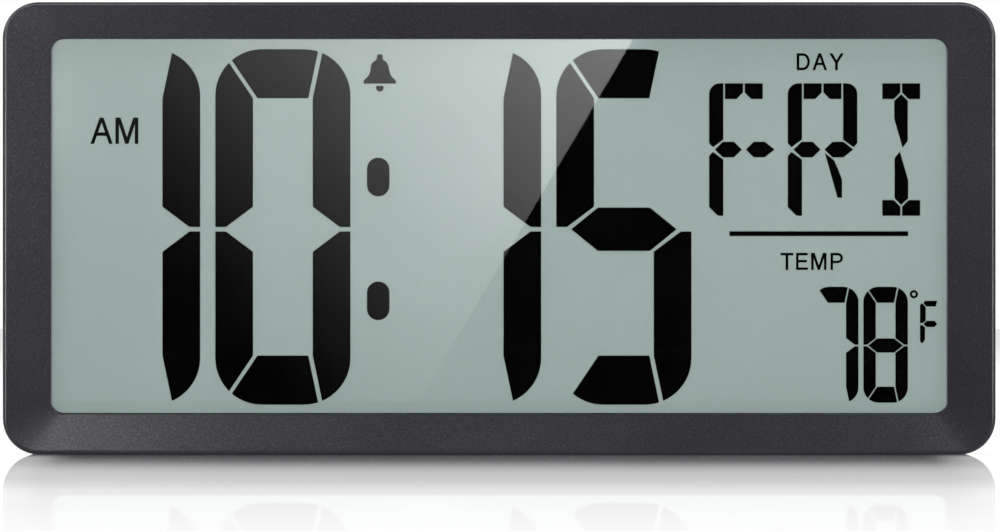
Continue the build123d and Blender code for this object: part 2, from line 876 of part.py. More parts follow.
# Bodies of the five tact switches, each with a well for its plunger
with BuildPart() as tact_switch_bodies:
    for spot in button_spots:
        block(switch_size, switch_size, spot, board_back, switch_top)
    plunger_well_at = switch_top - plunger_sunk - plunger_room
    columns(button_spots, plunger_radius + plunger_clearance, plunger_well_at, switch_top, Mode.SUBTRACT)
save(tact_switch_bodies, "tact_switch_bodies")

# Push buttons: a cap through the cover, a flange that holds it in and a stem to the switch
button_cap_at = case_depth - button_sink
flange_back_at = button_pad_at - button_play
flange_front_at = flange_back_at - button_flange_thick
for name, spot in zip(button_names, button_spots):
    with BuildPart() as button:
        columns([spot], button_stem_radius, plunger_top + button_play, flange_front_at)
        columns([spot], button_flange_radius, flange_front_at, flange_back_at)
        columns([spot], button_radius, flange_back_at, button_cap_at)
        fillet(button.edges().group_by(Axis.Y)[-1], button_sink)
    save(button, name + "_button")
    with BuildPart() as plunger:
        columns([spot], plunger_radius, switch_top - plunger_sunk, plunger_top)
    save(plunger, name + "_switch_plunger")

# Rear cover: a tray with everything at the back moulded into it
pocket_spots = [(-leg_x, pocket_z), (leg_x, pocket_z)]
with BuildPart() as rear_cover:
    with BuildSketch(behind(front_shell_depth)):
        rounded(case_width, case_height, case_corner, case_mid)
    extrude(amount=front_shell_depth - case_depth)
    fillet(rear_cover.edges().group_by(Axis.Y)[-1], rear_round)
    chamfer(rear_cover.edges().group_by(Axis.Y)[0], seam_chamfer)
    inner_width = cavity_width - 2 * tongue_inset
    inner_height = cavity_height - 2 * tongue_inset
    inner_corner = cavity_corner - tongue_inset
    with BuildSketch(behind(front_shell_depth)):
        rounded(inner_width, inner_height, inner_corner, case_mid)
    extrude(amount=front_shell_depth - plate_at, mode=Mode.SUBTRACT)
    with BuildSketch(behind(tongue_at)):
        tongue_outer = (cavity_width - 2 * shell_fit, cavity_height - 2 * shell_fit)
        tongue_corner = cavity_corner - shell_fit
        framed(tongue_outer, tongue_corner, (inner_width, inner_height), inner_corner, case_mid, case_mid)
    extrude(amount=tongue_at - front_shell_depth - seam_chamfer)

    # Posts, boxes and pads on the inside
    columns(cover_spots, cover_boss_radius, boss_top + boss_gap, plate_at)
    well_box = (well_width + 2 * well_wall, well_tall + 2 * well_wall)
    block(*well_box, well_mid, well_floor_at - well_wall, plate_at)
    frame_box = (recess_width + 2 * door_frame, recess_tall + 2 * door_frame)
    frame_at = door_at - back_plate
    block(*frame_box, well_mid, frame_at, plate_at)
    for spot in pocket_spots:
        pocket_box = (pocket_width + 2 * pocket_wall, pocket_tall + 2 * pocket_wall)
        block(*pocket_box, spot, pocket_floor_at - pocket_wall, plate_at)
    for x, z in keyhole_spots:
        keyhole_mid = (x, z + keyhole_box_rise)
        keyhole_box = (keyhole_box_width + 2 * pocket_wall, keyhole_box_tall + 2 * pocket_wall)
        block(*keyhole_box, keyhole_mid, plate_at - keyhole_depth - pocket_wall, plate_at)
    block(button_panel_width, button_panel_height, button_panel_mid, button_pad_at, plate_at)
    columns([buzzer_spot], buzzer_radius + buzzer_ring - buzzer_seat, plate_at - buzzer_chamber, plate_at)
    columns([buzzer_spot], buzzer_radius - buzzer_seat, plate_at - buzzer_chamber, plate_at, Mode.SUBTRACT)

    # Battery well, its door recess, hinge groove and finger scoop
    block(well_width, well_tall, well_mid, well_floor_at, case_depth, Mode.SUBTRACT)
    block(recess_width, recess_tall, well_mid, door_at, case_depth, Mode.SUBTRACT)
    groove_tall = 2 * (door_barrel_radius + door_clearance)
    groove_at = door_axis_at - door_barrel_radius - door_clearance
    block(recess_width, groove_tall, (0, door_axis_z), groove_at, case_depth, Mode.SUBTRACT)
    with Locations((0, depth_y(door_axis_at), door_axis_z)):
        Cylinder(
            door_pin_radius + pin_clearance,
            door_width + 2 * (door_pin_length + door_clearance),
            rotation=(0, 90, 0),
            mode=Mode.SUBTRACT,
        )
    with BuildSketch(behind(door_at)) as scoop:
        rounded(door_scoop_width, 2 * door_scoop_length, door_scoop_corner, (0, recess_bottom))
    extrude(scoop.sketch, amount=door_at - case_depth, mode=Mode.SUBTRACT)
    for height in (cell_heights[0], cell_heights[-1]):
        with Locations((well_width / 2 + well_wall / 2, depth_y(cell_mid_at), height)):
            lead_hole = battery_lead_radius + lead_hole_clearance
            Cylinder(lead_hole, 2 * well_wall, rotation=(0, 90, 0), mode=Mode.SUBTRACT)

    # Leg pockets with their pivot holes
    for x, z in pocket_spots:
        block(pocket_width, pocket_tall, (x, z), pocket_floor_at, case_depth, Mode.SUBTRACT)
        with Locations((x, depth_y(leg_axis_at), leg_height)):
            Cylinder(
                leg_pin_radius + pin_clearance,
                pocket_width + 2 * pocket_wall,
                rotation=(0, 90, 0),
                mode=Mode.SUBTRACT,
            )

    # Keyholes and the boxes that hide the screw heads
    for x, z in keyhole_spots:
        keyhole_mid = (x, z + keyhole_box_rise)
        box_at = plate_at - keyhole_depth
        block(keyhole_box_width, keyhole_box_tall, keyhole_mid, box_at, plate_at, Mode.SUBTRACT)
        with BuildSketch(behind(plate_at)) as keyhole:
            with Locations((x, z)):
                Circle(keyhole_radius)
            with Locations((x, z + keyhole_travel / 2)):
                SlotCenterToCenter(keyhole_travel, 2 * keyhole_slot_radius, rotation=90)
        extrude(keyhole.sketch, amount=-back_plate, mode=Mode.SUBTRACT)

    # Button panel, sound slots, vent slots and screw holes
    with BuildSketch(behind(button_floor_at)) as panel:
        with Locations(button_panel_mid):
            SlotOverall(button_panel_width, button_panel_height)
    extrude(panel.sketch, amount=-button_recess, mode=Mode.SUBTRACT)
    columns(button_spots, button_radius + button_clearance, button_pad_at, case_depth, Mode.SUBTRACT)
    with BuildSketch(behind(plate_at)) as slots:
        with Locations(buzzer_spot):
            with GridLocations(0, slot_pitch, 1, sound_slot_count):
                SlotOverall(sound_slot_length, slot_width)
        with Locations(thermistor_spot):
            with GridLocations(slot_pitch, 0, vent_slot_count, 1):
                SlotOverall(vent_slot_length, slot_width, rotation=90)
    extrude(slots.sketch, amount=-back_plate, mode=Mode.SUBTRACT)
    columns(cover_spots, cover_screw_radius + thread_clearance, boss_top, cover_seat_at, Mode.SUBTRACT)
    columns(cover_spots, cover_head_radius + head_clearance, cover_seat_at, case_depth, Mode.SUBTRACT)
save(rear_cover, "rear_cover")

# Piezo disc glued to its ring, with the ceramic element on it
with BuildPart() as buzzer_disc:
    columns([buzzer_spot], buzzer_radius, buzzer_at, buzzer_at + buzzer_thick)
save(buzzer_disc, "buzzer_disc")

with BuildPart() as buzzer_element:
    columns([buzzer_spot], element_radius, buzzer_at - element_thick, buzzer_at)
save(buzzer_element, "buzzer_element")

# Battery door: a plate with a hinge barrel and pins along its top edge and a finger tab below,
# with grip grooves and an arrow sunk in its face
with BuildPart() as battery_door:
    with BuildSketch(Plane.YZ.offset(-door_width / 2)):
        with Locations((depth_y(door_axis_at), door_axis_z)):
            Circle(door_barrel_radius)
        plate_mid = (depth_y(door_at + door_thick / 2), (door_axis_z + door_bottom) / 2)
        with Locations(plate_mid):
            Rectangle(door_thick, door_axis_z - door_bottom)
    extrude(amount=door_width)
    block(door_tab_width, 2 * door_tab_length, (0, door_bottom), door_at + door_clearance, door_top_at)
    with Locations((0, depth_y(door_axis_at), door_axis_z)):
        Cylinder(door_pin_radius, door_width + 2 * door_pin_length, rotation=(0, 90, 0))
    grip_tall = (door_grip_count - 1) * door_grip_pitch
    grip_z = door_bottom + door_grip_rise + grip_tall / 2
    with BuildSketch(behind(door_top_at - door_grip_depth)) as grip:
        with Locations((0, grip_z)):
            with GridLocations(0, door_grip_pitch, 1, door_grip_count):
                SlotOverall(door_grip_width, door_grip_groove)
        with Locations((0, grip_z + grip_tall / 2 + door_arrow_gap)):
            RegularPolygon(door_arrow_radius, 3, rotation=-90)
    extrude(grip.sketch, amount=-door_grip_depth, mode=Mode.SUBTRACT)
save(battery_door, "battery_door")

# Cells: alternate ways round, each with its positive nub
for number, (pole, height) in enumerate(zip(cell_poles, cell_heights), start=1):
    with BuildPart() as battery_cell:
        nub_tip = pole * (well_width / 2 - contact_thick - contact_dimple)
        can_end = nub_tip - pole * cell_nub_height
        with BuildSketch(Plane.YZ.offset(can_end)):
            with Locations((depth_y(cell_mid_at), height)):
                Circle(cell_radius)
        extrude(amount=-pole * (cell_length - cell_nub_height))
        with BuildSketch(Plane.YZ.offset(can_end)):
            with Locations((depth_y(cell_mid_at), height)):
                Circle(cell_nub_radius)
        extrude(amount=pole * cell_nub_height)
    save(battery_cell, "battery_cell_" + str(number))


# A sheet-metal contact on one end wall: a plate over its cells, with a bowed leaf where a cell
# ends flat and a raised dimple where it ends in its nub.
def contact(side, indexes):
    face_x = side * (well_width / 2 - contact_thick)
    heights = [cell_heights[i] for i in indexes]
    with BuildSketch(Plane.YZ.offset(face_x)) as sheet:
        with Locations((depth_y(cell_mid_at), sum(heights) / len(heights))):
            Rectangle(contact_size, contact_size + heights[0] - heights[-1])
    extrude(sheet.sketch, amount=side * contact_thick)
    for i in indexes:
        middle = depth_y(cell_mid_at)
        if cell_poles[i] == side:
            with BuildSketch(Plane.YZ.offset(face_x)) as dimple:
                with Locations((middle, cell_heights[i])):
                    Circle(contact_dimple_radius)
            extrude(dimple.sketch, amount=-side * contact_dimple)
        else:
            low = (face_x, middle - bow_span / 2)
            high = (face_x, middle + bow_span / 2)
            with BuildSketch(Plane.XY.offset(cell_heights[i] - bow_width / 2)) as leaf:
                with BuildLine():
                    outer = ThreePointArc(low, (face_x - side * contact_bow, middle), high)
                    upper = Line(outer @ 1, (face_x, middle + bow_span / 2 - 2 * bow_thick))
                    apex = (face_x - side * (contact_bow - bow_thick), middle)
                    inner = ThreePointArc(upper @ 1, apex, (face_x, middle - bow_span / 2 + 2 * bow_thick))
                    Line(inner @ 1, outer @ 0)
                make_face()
            extrude(leaf.sketch, amount=bow_width)


with BuildPart() as contact_negative:
    contact(1, [0])
save(contact_negative, "contact_negative")

with BuildPart() as contact_positive:
    contact(1, [cell_count - 1])
save(contact_positive, "contact_positive")

with BuildPart() as contact_bridges:
    for first in range(cell_count - 1):
        contact(-1 if first % 2 == 0 else 1, [first, first + 1])
save(contact_bridges, "contact_bridges")

# Battery leads, from the two end contacts through the wall and on to the board
for name, height in (("red", cell_heights[-1]), ("black", cell_heights[0])):
    with BuildPart() as battery_lead:
        lead_y = depth_y(cell_mid_at)
        with BuildLine() as route:
            FilletPolyline(
                (well_width / 2, lead_y, height),
                (board_left + lead_reach, lead_y, height),
                (board_left + lead_reach, depth_y(board_back), height),
                radius=lead_bend,
            )
        with BuildSketch(route.line ^ 0):
            Circle(battery_lead_radius)
        sweep()
    save(battery_lead, "battery_lead_" + name)

# Buzzer leads, side by side over the top of the battery well to the board
lead_run_y = depth_y(buzzer_at - buzzer_lead_drop)
lead_over_z = recess_top + door_frame + buzzer_lead_rise
for name, shift in (("red", buzzer_lead_gap / 2), ("black", -buzzer_lead_gap / 2)):
    with BuildPart() as buzzer_lead:
        start_x = buzzer_spot[0] + element_radius / 2
        start_z = buzzer_height + shift
        end_x = button_first + button_step / 2 + shift
        end_z = board_top - buzzer_pad_inset
        with BuildLine() as route:
            FilletPolyline(
                (start_x, depth_y(buzzer_at - element_thick), start_z),
                (start_x, lead_run_y, start_z),
                (start_x + buzzer_lead_slope, lead_run_y, lead_over_z + shift),
                (end_x - buzzer_lead_slope, lead_run_y, lead_over_z + shift),
                (end_x, lead_run_y, end_z),
                (end_x, depth_y(board_back), end_z),
                radius=lead_bend,
            )
        with BuildSketch(route.line ^ 0):
            Circle(buzzer_lead_radius)
        sweep()
    save(buzzer_lead, "buzzer_lead_" + name)

# Stand legs: hollow-backed plates with grip grooves at the tip, turning on two stub pins
for name, side in (("left", -1), ("right", 1)):
    with BuildPart() as leg:
        with BuildSketch(Plane.YZ.offset(side * leg_x - leg_width / 2)):
            with Locations((depth_y(leg_axis_at), leg_height)):
                Circle(leg_thick / 2)
            with Locations((depth_y(leg_axis_at), leg_height + leg_length / 2)):
                Rectangle(leg_thick, leg_length)
        extrude(amount=leg_width)
        fillet(leg.edges().filter_by(Axis.Y).group_by(Axis.Z)[-1], leg_tip_round)
        hollow_tall = leg_length - leg_thick - 2 * leg_skin
        hollow_mid = (side * leg_x, leg_height + leg_thick + hollow_tall / 2)
        hollow_back_at = leg_back_at - leg_skin
        block(leg_width - 2 * leg_skin, hollow_tall, hollow_mid, leg_front_at, hollow_back_at, Mode.SUBTRACT)
        with Locations((side * leg_x, depth_y(leg_axis_at), leg_height)):
            Cylinder(leg_pin_radius, leg_width + 2 * leg_pin_length, rotation=(0, 90, 0))
        with BuildSketch(behind(leg_back_at - leg_grip_depth)) as grip:
            with Locations((side * leg_x, leg_tip - leg_grip_drop)):
                with GridLocations(0, leg_grip_pitch, 1, leg_grip_count):
                    SlotOverall(leg_width - 2 * leg_skin, leg_grip_groove)
        extrude(grip.sketch, amount=-leg_grip_depth, mode=Mode.SUBTRACT)
    save(leg, "leg_" + name)

# Screws
with BuildPart() as cover_screws:
    screws(cover_spots, cover_screw_radius, cover_head_radius, cover_seat_at, cover_screw_length)
save(cover_screws, "cover_screws")

with BuildPart() as holder_screws:
    screws(holder_spots, small_screw_radius, small_head_radius, holder_back, holder_screw_length)
save(holder_screws, "holder_screws")

with BuildPart() as board_screws:
    screws(board_holes, small_screw_radius, small_head_radius, board_back, board_screw_length)
save(board_screws, "board_screws")
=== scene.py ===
import bpy
import math
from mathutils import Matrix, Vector


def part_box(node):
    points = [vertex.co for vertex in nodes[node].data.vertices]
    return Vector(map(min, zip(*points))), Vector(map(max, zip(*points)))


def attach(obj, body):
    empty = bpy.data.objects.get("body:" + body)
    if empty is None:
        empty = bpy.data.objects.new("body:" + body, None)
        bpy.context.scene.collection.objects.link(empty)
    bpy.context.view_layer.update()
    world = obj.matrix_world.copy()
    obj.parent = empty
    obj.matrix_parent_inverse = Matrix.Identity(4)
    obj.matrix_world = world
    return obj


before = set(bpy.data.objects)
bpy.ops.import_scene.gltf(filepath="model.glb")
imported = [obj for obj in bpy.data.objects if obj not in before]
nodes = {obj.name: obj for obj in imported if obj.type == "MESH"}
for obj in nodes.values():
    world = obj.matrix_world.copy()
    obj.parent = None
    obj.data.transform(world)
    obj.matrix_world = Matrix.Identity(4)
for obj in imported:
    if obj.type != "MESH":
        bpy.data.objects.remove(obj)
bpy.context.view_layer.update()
print("frame loaded with", len(nodes), "nodes")

mm = 0.001
pureWhite = "#ffffff"
clothBlack = "#010101"
bpy.context.scene.view_settings.view_transform = "Standard"


def linearColour(hexCode):
    channels = [int(hexCode[i:i + 2], 16) / 255 for i in (1, 3, 5)]
    linear = [c / 12.92 if c <= 0.04045 else ((c + 0.055) / 1.055) ** 2.4 for c in channels]
    return (*linear, 1.0)


def perMm(size):
    return 1 / (size * mm)  # texture scale whose features are this many millimetres


def addNode(tree, kind, settings=None, inputs=None, stops=None):
    node = tree.nodes.new(kind)
    for key, value in (settings or {}).items():
        setattr(node, key, value)
    for key, value in (inputs or {}).items():
        if isinstance(value, bpy.types.NodeSocket):
            tree.links.new(value, node.inputs[key])
        else:
            node.inputs[key].default_value = value
    if stops:
        ramp = node.color_ramp.elements
        while len(ramp) < len(stops):
            ramp.new(0.5)
        for element, (place, colour) in zip(ramp, stops):
            element.position, element.color = place, colour
    return node


def startMaterial(name):
    material = bpy.data.materials.new(name)
    material.use_nodes = True
    tree = material.node_tree
    tree.nodes.clear()
    place = addNode(tree, "ShaderNodeTexCoord").outputs["Object"]
    return material, tree, place


def endMaterial(tree, shader):
    addNode(tree, "ShaderNodeOutputMaterial", None, {"Surface": shader})


def dress(material, *names):
    for name in names:
        for slot in nodes[name].material_slots:
            slot.material = material


# Camera, square on to the clock and a little below its middle
cameraSet = {
    "place": (0.0003, -2.027, 0.0683),
    "turn": (90.0, 0.0, 0.0),
    "lens": 200.0,
    "sensor": 36.0,
    "clipEnd": 20.0,
}
bpy.ops.object.select_all(action="DESELECT")
bpy.ops.object.camera_add(location=cameraSet["place"],
                          rotation=[math.radians(a) for a in cameraSet["turn"]])
camera = bpy.context.object
camera.data.lens = cameraSet["lens"]
camera.data.sensor_fit = "HORIZONTAL"
camera.data.sensor_width = cameraSet["sensor"]
camera.data.clip_end = cameraSet["clipEnd"]
bpy.context.scene.camera = camera
print("camera set")


# Panel words are typed, made a mesh, fitted to their box and stood up to face the rear
typeSet = {"extrude": 0.05, "curveSteps": 8, "weld": 0.0005}  # lengths in shares of the type's size


def typeWord(name, look):
    bpy.ops.object.select_all(action="DESELECT")
    bpy.ops.object.text_add(location=(0, 0, 0))
    word = bpy.context.object
    word.name = name
    word.data.name = name
    word.data.body = look["text"]
    word.data.extrude = typeSet["extrude"]
    word.data.offset = look["weight"]
    word.data.space_character = look["spacing"]
    word.data.resolution_u = typeSet["curveSteps"]
    bpy.ops.object.convert(target="MESH")
    bpy.ops.object.mode_set(mode="EDIT")
    bpy.ops.mesh.select_all(action="SELECT")
    bpy.ops.mesh.remove_doubles(threshold=typeSet["weld"])
    bpy.ops.mesh.normals_make_consistent(inside=False)
    bpy.ops.object.mode_set(mode="OBJECT")
    bpy.ops.object.origin_set(type="ORIGIN_GEOMETRY", center="BOUNDS")
    left, right, low, high = [v * mm for v in look["box"]]
    near, far = [v * mm for v in look["layer"]]
    word.dimensions = (right - left, high - low, far - near)
    bpy.ops.object.transform_apply(location=False, rotation=False, scale=True)
    word.location = ((left + right) / 2, (near + far) / 2, (low + high) / 2)
    word.rotation_euler = (math.pi / 2, 0, math.pi)
    bpy.ops.object.transform_apply(location=True, rotation=True, scale=True)
    return word


# The round side of a capital is half an ellipse, drawn from its top down to its foot
bowSteps = 16


def bow(middleX, middleY, reachX, reachY):
    turns = [math.pi / 2 - math.pi * i / bowSteps for i in range(bowSteps + 1)]
    return [(middleX + reachX * math.cos(a), middleY + reachY * math.sin(a)) for a in turns]


# Capitals of the display's words: outlines in shares of their height, a hole after its outside
capitals = {
    "A": [[(0, 0), (0.345, 1), (0.475, 1), (0.82, 0), (0.705, 0), (0.598, 0.31), (0.222, 0.31),
           (0.115, 0)],
          [(0.26, 0.42), (0.41, 0.855), (0.56, 0.42)]],
    "M": [[(0, 0), (0, 1), (0.172, 1), (0.4265, 0.22), (0.681, 1), (0.853, 1), (0.853, 0),
           (0.741, 0), (0.741, 0.826), (0.48, 0), (0.373, 0), (0.112, 0.826), (0.112, 0)]],
    "D": [[(0, 0), (0, 1), *bow(0.36, 0.5, 0.378, 0.5)],
          [(0.112, 0.115), (0.112, 0.885), *bow(0.35, 0.5, 0.28, 0.385)]],
    "Y": [[(0, 1), (0.135, 1), (0.3915, 0.545), (0.648, 1), (0.783, 1), (0.45, 0.44), (0.45, 0),
           (0.333, 0), (0.333, 0.44)]],
    "T": [[(0, 1), (0.716, 1), (0.716, 0.883), (0.4165, 0.883), (0.4165, 0), (0.2995, 0),
           (0.2995, 0.883), (0, 0.883)]],
    "E": [[(0, 0), (0, 1), (0.64, 1), (0.64, 0.885), (0.112, 0.885), (0.112, 0.57), (0.6, 0.57),
           (0.6, 0.458), (0.112, 0.458), (0.112, 0.115), (0.657, 0.115), (0.657, 0)]],
    "P": [[(0, 0), (0, 1), *bow(0.39, 0.705, 0.3, 0.295), (0.112, 0.41), (0.112, 0)],
          [(0.112, 0.52), (0.112, 0.885), *bow(0.385, 0.7025, 0.195, 0.1825)]],
}

# The display's own words lie in the crystal layer with the digits; each letter has its own span
displayWords = {
    "am_sign": {"floor": 112.82, "height": 9.32, "weight": 0.11,
                "letters": [("A", -148.44, -140.64), ("M", -139.39, -131.29)]},
    "day_title": {"floor": 139.6, "height": 5.89, "weight": 0.13,
                  "letters": [("D", 108.28, 112.81), ("A", 114.05, 119.02), ("Y", 120.2, 125.05)]},
    "temp_title": {"floor": 66.97, "height": 6.0, "weight": 0.11,
                   "letters": [("T", 102.39, 106.84), ("E", 108.02, 112.11), ("M", 113.51, 118.87),
                               ("P", 120.57, 124.87)]},
}
displaySet = {"layer": (-7.55, -7.35), "weld": 0.001}


def drawWord(name, look):
    near, far = displaySet["layer"]
    lines = bpy.data.curves.new(name, "CURVE")
    lines.dimensions = "2D"
    lines.fill_mode = "BOTH"
    lines.extrude = (far - near) / 2 * mm
    lines.offset = look["weight"] * mm  # thickens every stroke by this much on each side
    for letter, left, right in look["letters"]:
        width = max(x for x, y in capitals[letter][0])
        for outline in capitals[letter]:
            spline = lines.splines.new("POLY")
            spline.points.add(len(outline) - 1)
            spline.use_cyclic_u = True
            for point, (x, y) in zip(spline.points, outline):
                across = left + (right - left) * x / width
                point.co = (across * mm, (look["floor"] + look["height"] * y) * mm, 0, 1)
    bpy.ops.object.select_all(action="DESELECT")
    word = bpy.data.objects.new(name, lines)
    bpy.context.collection.objects.link(word)
    bpy.context.view_layer.objects.active = word
    word.select_set(True)
    bpy.ops.object.convert(target="MESH")
    word = bpy.context.object
    bpy.ops.object.mode_set(mode="EDIT")
    bpy.ops.mesh.select_all(action="SELECT")
    bpy.ops.mesh.remove_doubles(threshold=displaySet["weld"] * mm)
    bpy.ops.mesh.normals_make_consistent(inside=False)
    bpy.ops.object.mode_set(mode="OBJECT")
    word.location = (0, (near + far) / 2 * mm, 0)
    word.rotation_euler = (math.pi / 2, 0, 0)
    bpy.ops.object.transform_apply(location=True, rotation=True, scale=True)
    return word


crystalPieces = []
for name, look in displayWords.items():
    word = drawWord(name, look)
    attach(word, "case")
    crystalPieces.append(word)
print("display words made")

# Raised words stand on the floor of the button panel, each beside its button
panelWords = {
    "mode_word": {"text": "MODE", "box": (129.2, 139.4, 77.2, 79.6)},
    "set_word": {"text": "SET", "box": (108.0, 115.2, 77.2, 79.6)},
    "alarm_word": {"text": "ALARM", "box": (55.4, 68.0, 77.2, 79.6)},
}
panelType = {"layer": (12.7, 13.0), "spacing": 1.05, "weight": 0.004}
whitePieces = []
for name, look in panelWords.items():
    word = typeWord(name, {**look, **panelType})
    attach(word, "case")
    whitePieces.append(word)
print("panel words made")

# Arrow on a button's cap: a flat three-sided disc, its edges eased
capArrows = {
    "up_arrow": {"node": "up_button", "body": "up_key", "pointsUp": True},
    "down_arrow": {"node": "down_button", "body": "down_key", "pointsUp": False},
}
arrowSet = {"corners": 3, "radius": 1.9, "sunk": 0.1, "proud": 0.18, "bevel": 0.08, "bevelSteps": 2}
for name, look in capArrows.items():
    low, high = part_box(look["node"])
    bpy.ops.object.select_all(action="DESELECT")
    bpy.ops.mesh.primitive_cylinder_add(
        vertices=arrowSet["corners"], radius=arrowSet["radius"] * mm,
        depth=(arrowSet["sunk"] + arrowSet["proud"]) * mm,
        location=((low[0] + high[0]) / 2,
                  high[1] + (arrowSet["proud"] - arrowSet["sunk"]) / 2 * mm,
                  (low[2] + high[2]) / 2),
        rotation=(math.pi / 2, 0 if look["pointsUp"] else math.pi, 0))
    arrow = bpy.context.object
    arrow.name = name
    arrow.data.name = name
    bpy.ops.object.transform_apply(location=True, rotation=True, scale=True)
    easing = arrow.modifiers.new("easing", "BEVEL")
    easing.width = arrowSet["bevel"] * mm
    easing.segments = arrowSet["bevelSteps"]
    bpy.ops.object.modifier_apply(modifier="easing")
    bpy.ops.object.mode_set(mode="EDIT")
    bpy.ops.mesh.select_all(action="SELECT")
    bpy.ops.mesh.normals_make_consistent(inside=False)
    bpy.ops.object.mode_set(mode="OBJECT")
    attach(arrow, look["body"])
    whitePieces.append(arrow)
print("button arrows made")


# Moulded plastic: spark-eroded pits dull the gloss and catch the light as a fine grain
mouldSet = {
    "detail": 2.0, "breakUp": 0.6, "driftDetail": 1.0,
    "grainShare": 0.7, "driftShare": 0.3, "lift": 0.15,
    "toneSpan": (0.5, 0.9), "roughSpan": (0.3, 0.7), "glintSpan": (0.5, 0.75),
}


def mouldedPlastic(name, look):
    material, tree, place = startMaterial(name)
    grain = addNode(tree, "ShaderNodeTexNoise", None, {
        "Vector": place, "Scale": perMm(look["grain"]), "Detail": mouldSet["detail"],
        "Roughness": mouldSet["breakUp"]})
    drift = addNode(tree, "ShaderNodeTexNoise", None, {
        "Vector": place, "Scale": perMm(look["drift"]), "Detail": mouldSet["driftDetail"]})
    blend = addNode(tree, "ShaderNodeMath", {"operation": "MULTIPLY_ADD"}, {
        0: grain.outputs["Fac"], 1: mouldSet["grainShare"], 2: mouldSet["lift"]})
    mixed = addNode(tree, "ShaderNodeMath", {"operation": "MULTIPLY_ADD"}, {
        0: drift.outputs["Fac"], 1: mouldSet["driftShare"], 2: blend.outputs[0]})
    tone = addNode(tree, "ShaderNodeValToRGB", None, {"Fac": mixed.outputs[0]}, [
        (mouldSet["toneSpan"][0], linearColour(look["dark"])),
        (mouldSet["toneSpan"][1], linearColour(look["light"]))])
    sheen = addNode(tree, "ShaderNodeMapRange", None, {
        "Value": grain.outputs["Fac"],
        "From Min": mouldSet["roughSpan"][0], "From Max": mouldSet["roughSpan"][1],
        "To Min": look["rough"][0], "To Max": look["rough"][1]})
    glint = addNode(tree, "ShaderNodeMapRange", None, {
        "Value": grain.outputs["Fac"],
        "From Min": mouldSet["glintSpan"][0], "From Max": mouldSet["glintSpan"][1],
        "To Min": look["shine"][0], "To Max": look["shine"][1]})
    relief = addNode(tree, "ShaderNodeBump", None, {
        "Height": grain.outputs["Fac"], "Strength": look["bump"],
        "Distance": look["depth"] * mm})
    plastic = addNode(tree, "ShaderNodeBsdfPrincipled", None, {
        "Base Color": tone.outputs["Color"], "Roughness": sheen.outputs["Result"],
        "IOR": look["ior"], "Specular IOR Level": glint.outputs["Result"],
        "Normal": relief.outputs["Normal"]})
    endMaterial(tree, plastic.outputs[0])
    return material


# Grain is drawn at about a pixel of the photograph, coarser than the real pits
bezelLook = {"dark": "#1e1d22", "light": "#2a292f", "grain": 0.5, "drift": 30.0,
             "rough": (0.31, 0.29), "bump": 0.1, "depth": 0.05, "ior": 1.53, "shine": (0.3, 0.75)}
coverLook = {"dark": "#1c1b1f", "light": "#2f2e33", "grain": 0.6, "drift": 40.0,
             "rough": (0.42, 0.56), "bump": 0.4, "depth": 0.06, "ior": 1.53, "shine": (0.32, 0.5)}
legLook = {"dark": "#19191c", "light": "#2a2a2e", "grain": 0.5, "drift": 20.0,
           "rough": (0.34, 0.46), "bump": 0.3, "depth": 0.05, "ior": 1.53, "shine": (0.32, 0.5)}
capLook = {"dark": "#303136", "light": "#3e3f45", "grain": 0.4, "drift": 8.0,
           "rough": (0.4, 0.5), "bump": 0.2, "depth": 0.03, "ior": 1.53, "shine": (0.32, 0.5)}
holderLook = {"dark": "#cfcdc6", "light": "#e0ded8", "grain": 0.5, "drift": 30.0,
              "rough": (0.4, 0.5), "bump": 0.2, "depth": 0.04, "ior": 1.53, "shine": (0.32, 0.5)}
nylonLook = {"dark": "#141415", "light": "#202022", "grain": 0.3, "drift": 4.0,
             "rough": (0.45, 0.6), "bump": 0.2, "depth": 0.03, "ior": 1.53, "shine": (0.32, 0.5)}
plungerLook = {"dark": "#4a3024", "light": "#5c3d2f", "grain": 0.3, "drift": 3.0,
               "rough": (0.4, 0.5), "bump": 0.15, "depth": 0.02, "ior": 1.53, "shine": (0.32, 0.5)}
redWireLook = {"dark": "#8e1512", "light": "#b0211b", "grain": 0.4, "drift": 12.0,
               "rough": (0.35, 0.48), "bump": 0.1, "depth": 0.02, "ior": 1.54,
               "shine": (0.45, 0.65)}
blackWireLook = {"dark": "#141414", "light": "#242424", "grain": 0.4, "drift": 12.0,
                 "rough": (0.35, 0.48), "bump": 0.1, "depth": 0.02, "ior": 1.54,
                 "shine": (0.45, 0.65)}

keyNames = ("alarm", "down", "up", "set", "mode")
dress(mouldedPlastic("charcoalMouldedAbs", bezelLook), "front_bezel")
dress(mouldedPlastic("blackMouldedAbs", coverLook), "rear_cover", "battery_door")
dress(mouldedPlastic("satinBlackAbs", legLook), "leg_left", "leg_right")
dress(mouldedPlastic("greyKeyAbs", capLook), *[k + "_button" for k in keyNames])
dress(mouldedPlastic("naturalWhiteAbs", holderLook), "lcd_holder")
dress(mouldedPlastic("blackNylon", nylonLook), "tact_switch_bodies")
dress(mouldedPlastic("brownNylon", plungerLook), *[k + "_switch_plunger" for k in keyNames])
dress(mouldedPlastic("redPvc", redWireLook), "battery_lead_red", "buzzer_lead_red")
dress(mouldedPlastic("blackPvc", blackWireLook), "battery_lead_black", "buzzer_lead_black")
print("plastics dressed")


# Cast acrylic sheet: clear, polished, a mirror only by its Fresnel share
windowSet = {"index": 1.49, "ripple": 60.0, "polish": (0.005, 0.02),
             "passes": (0.985, 0.99, 0.99, 1)}  # shares of red, green and blue light let through


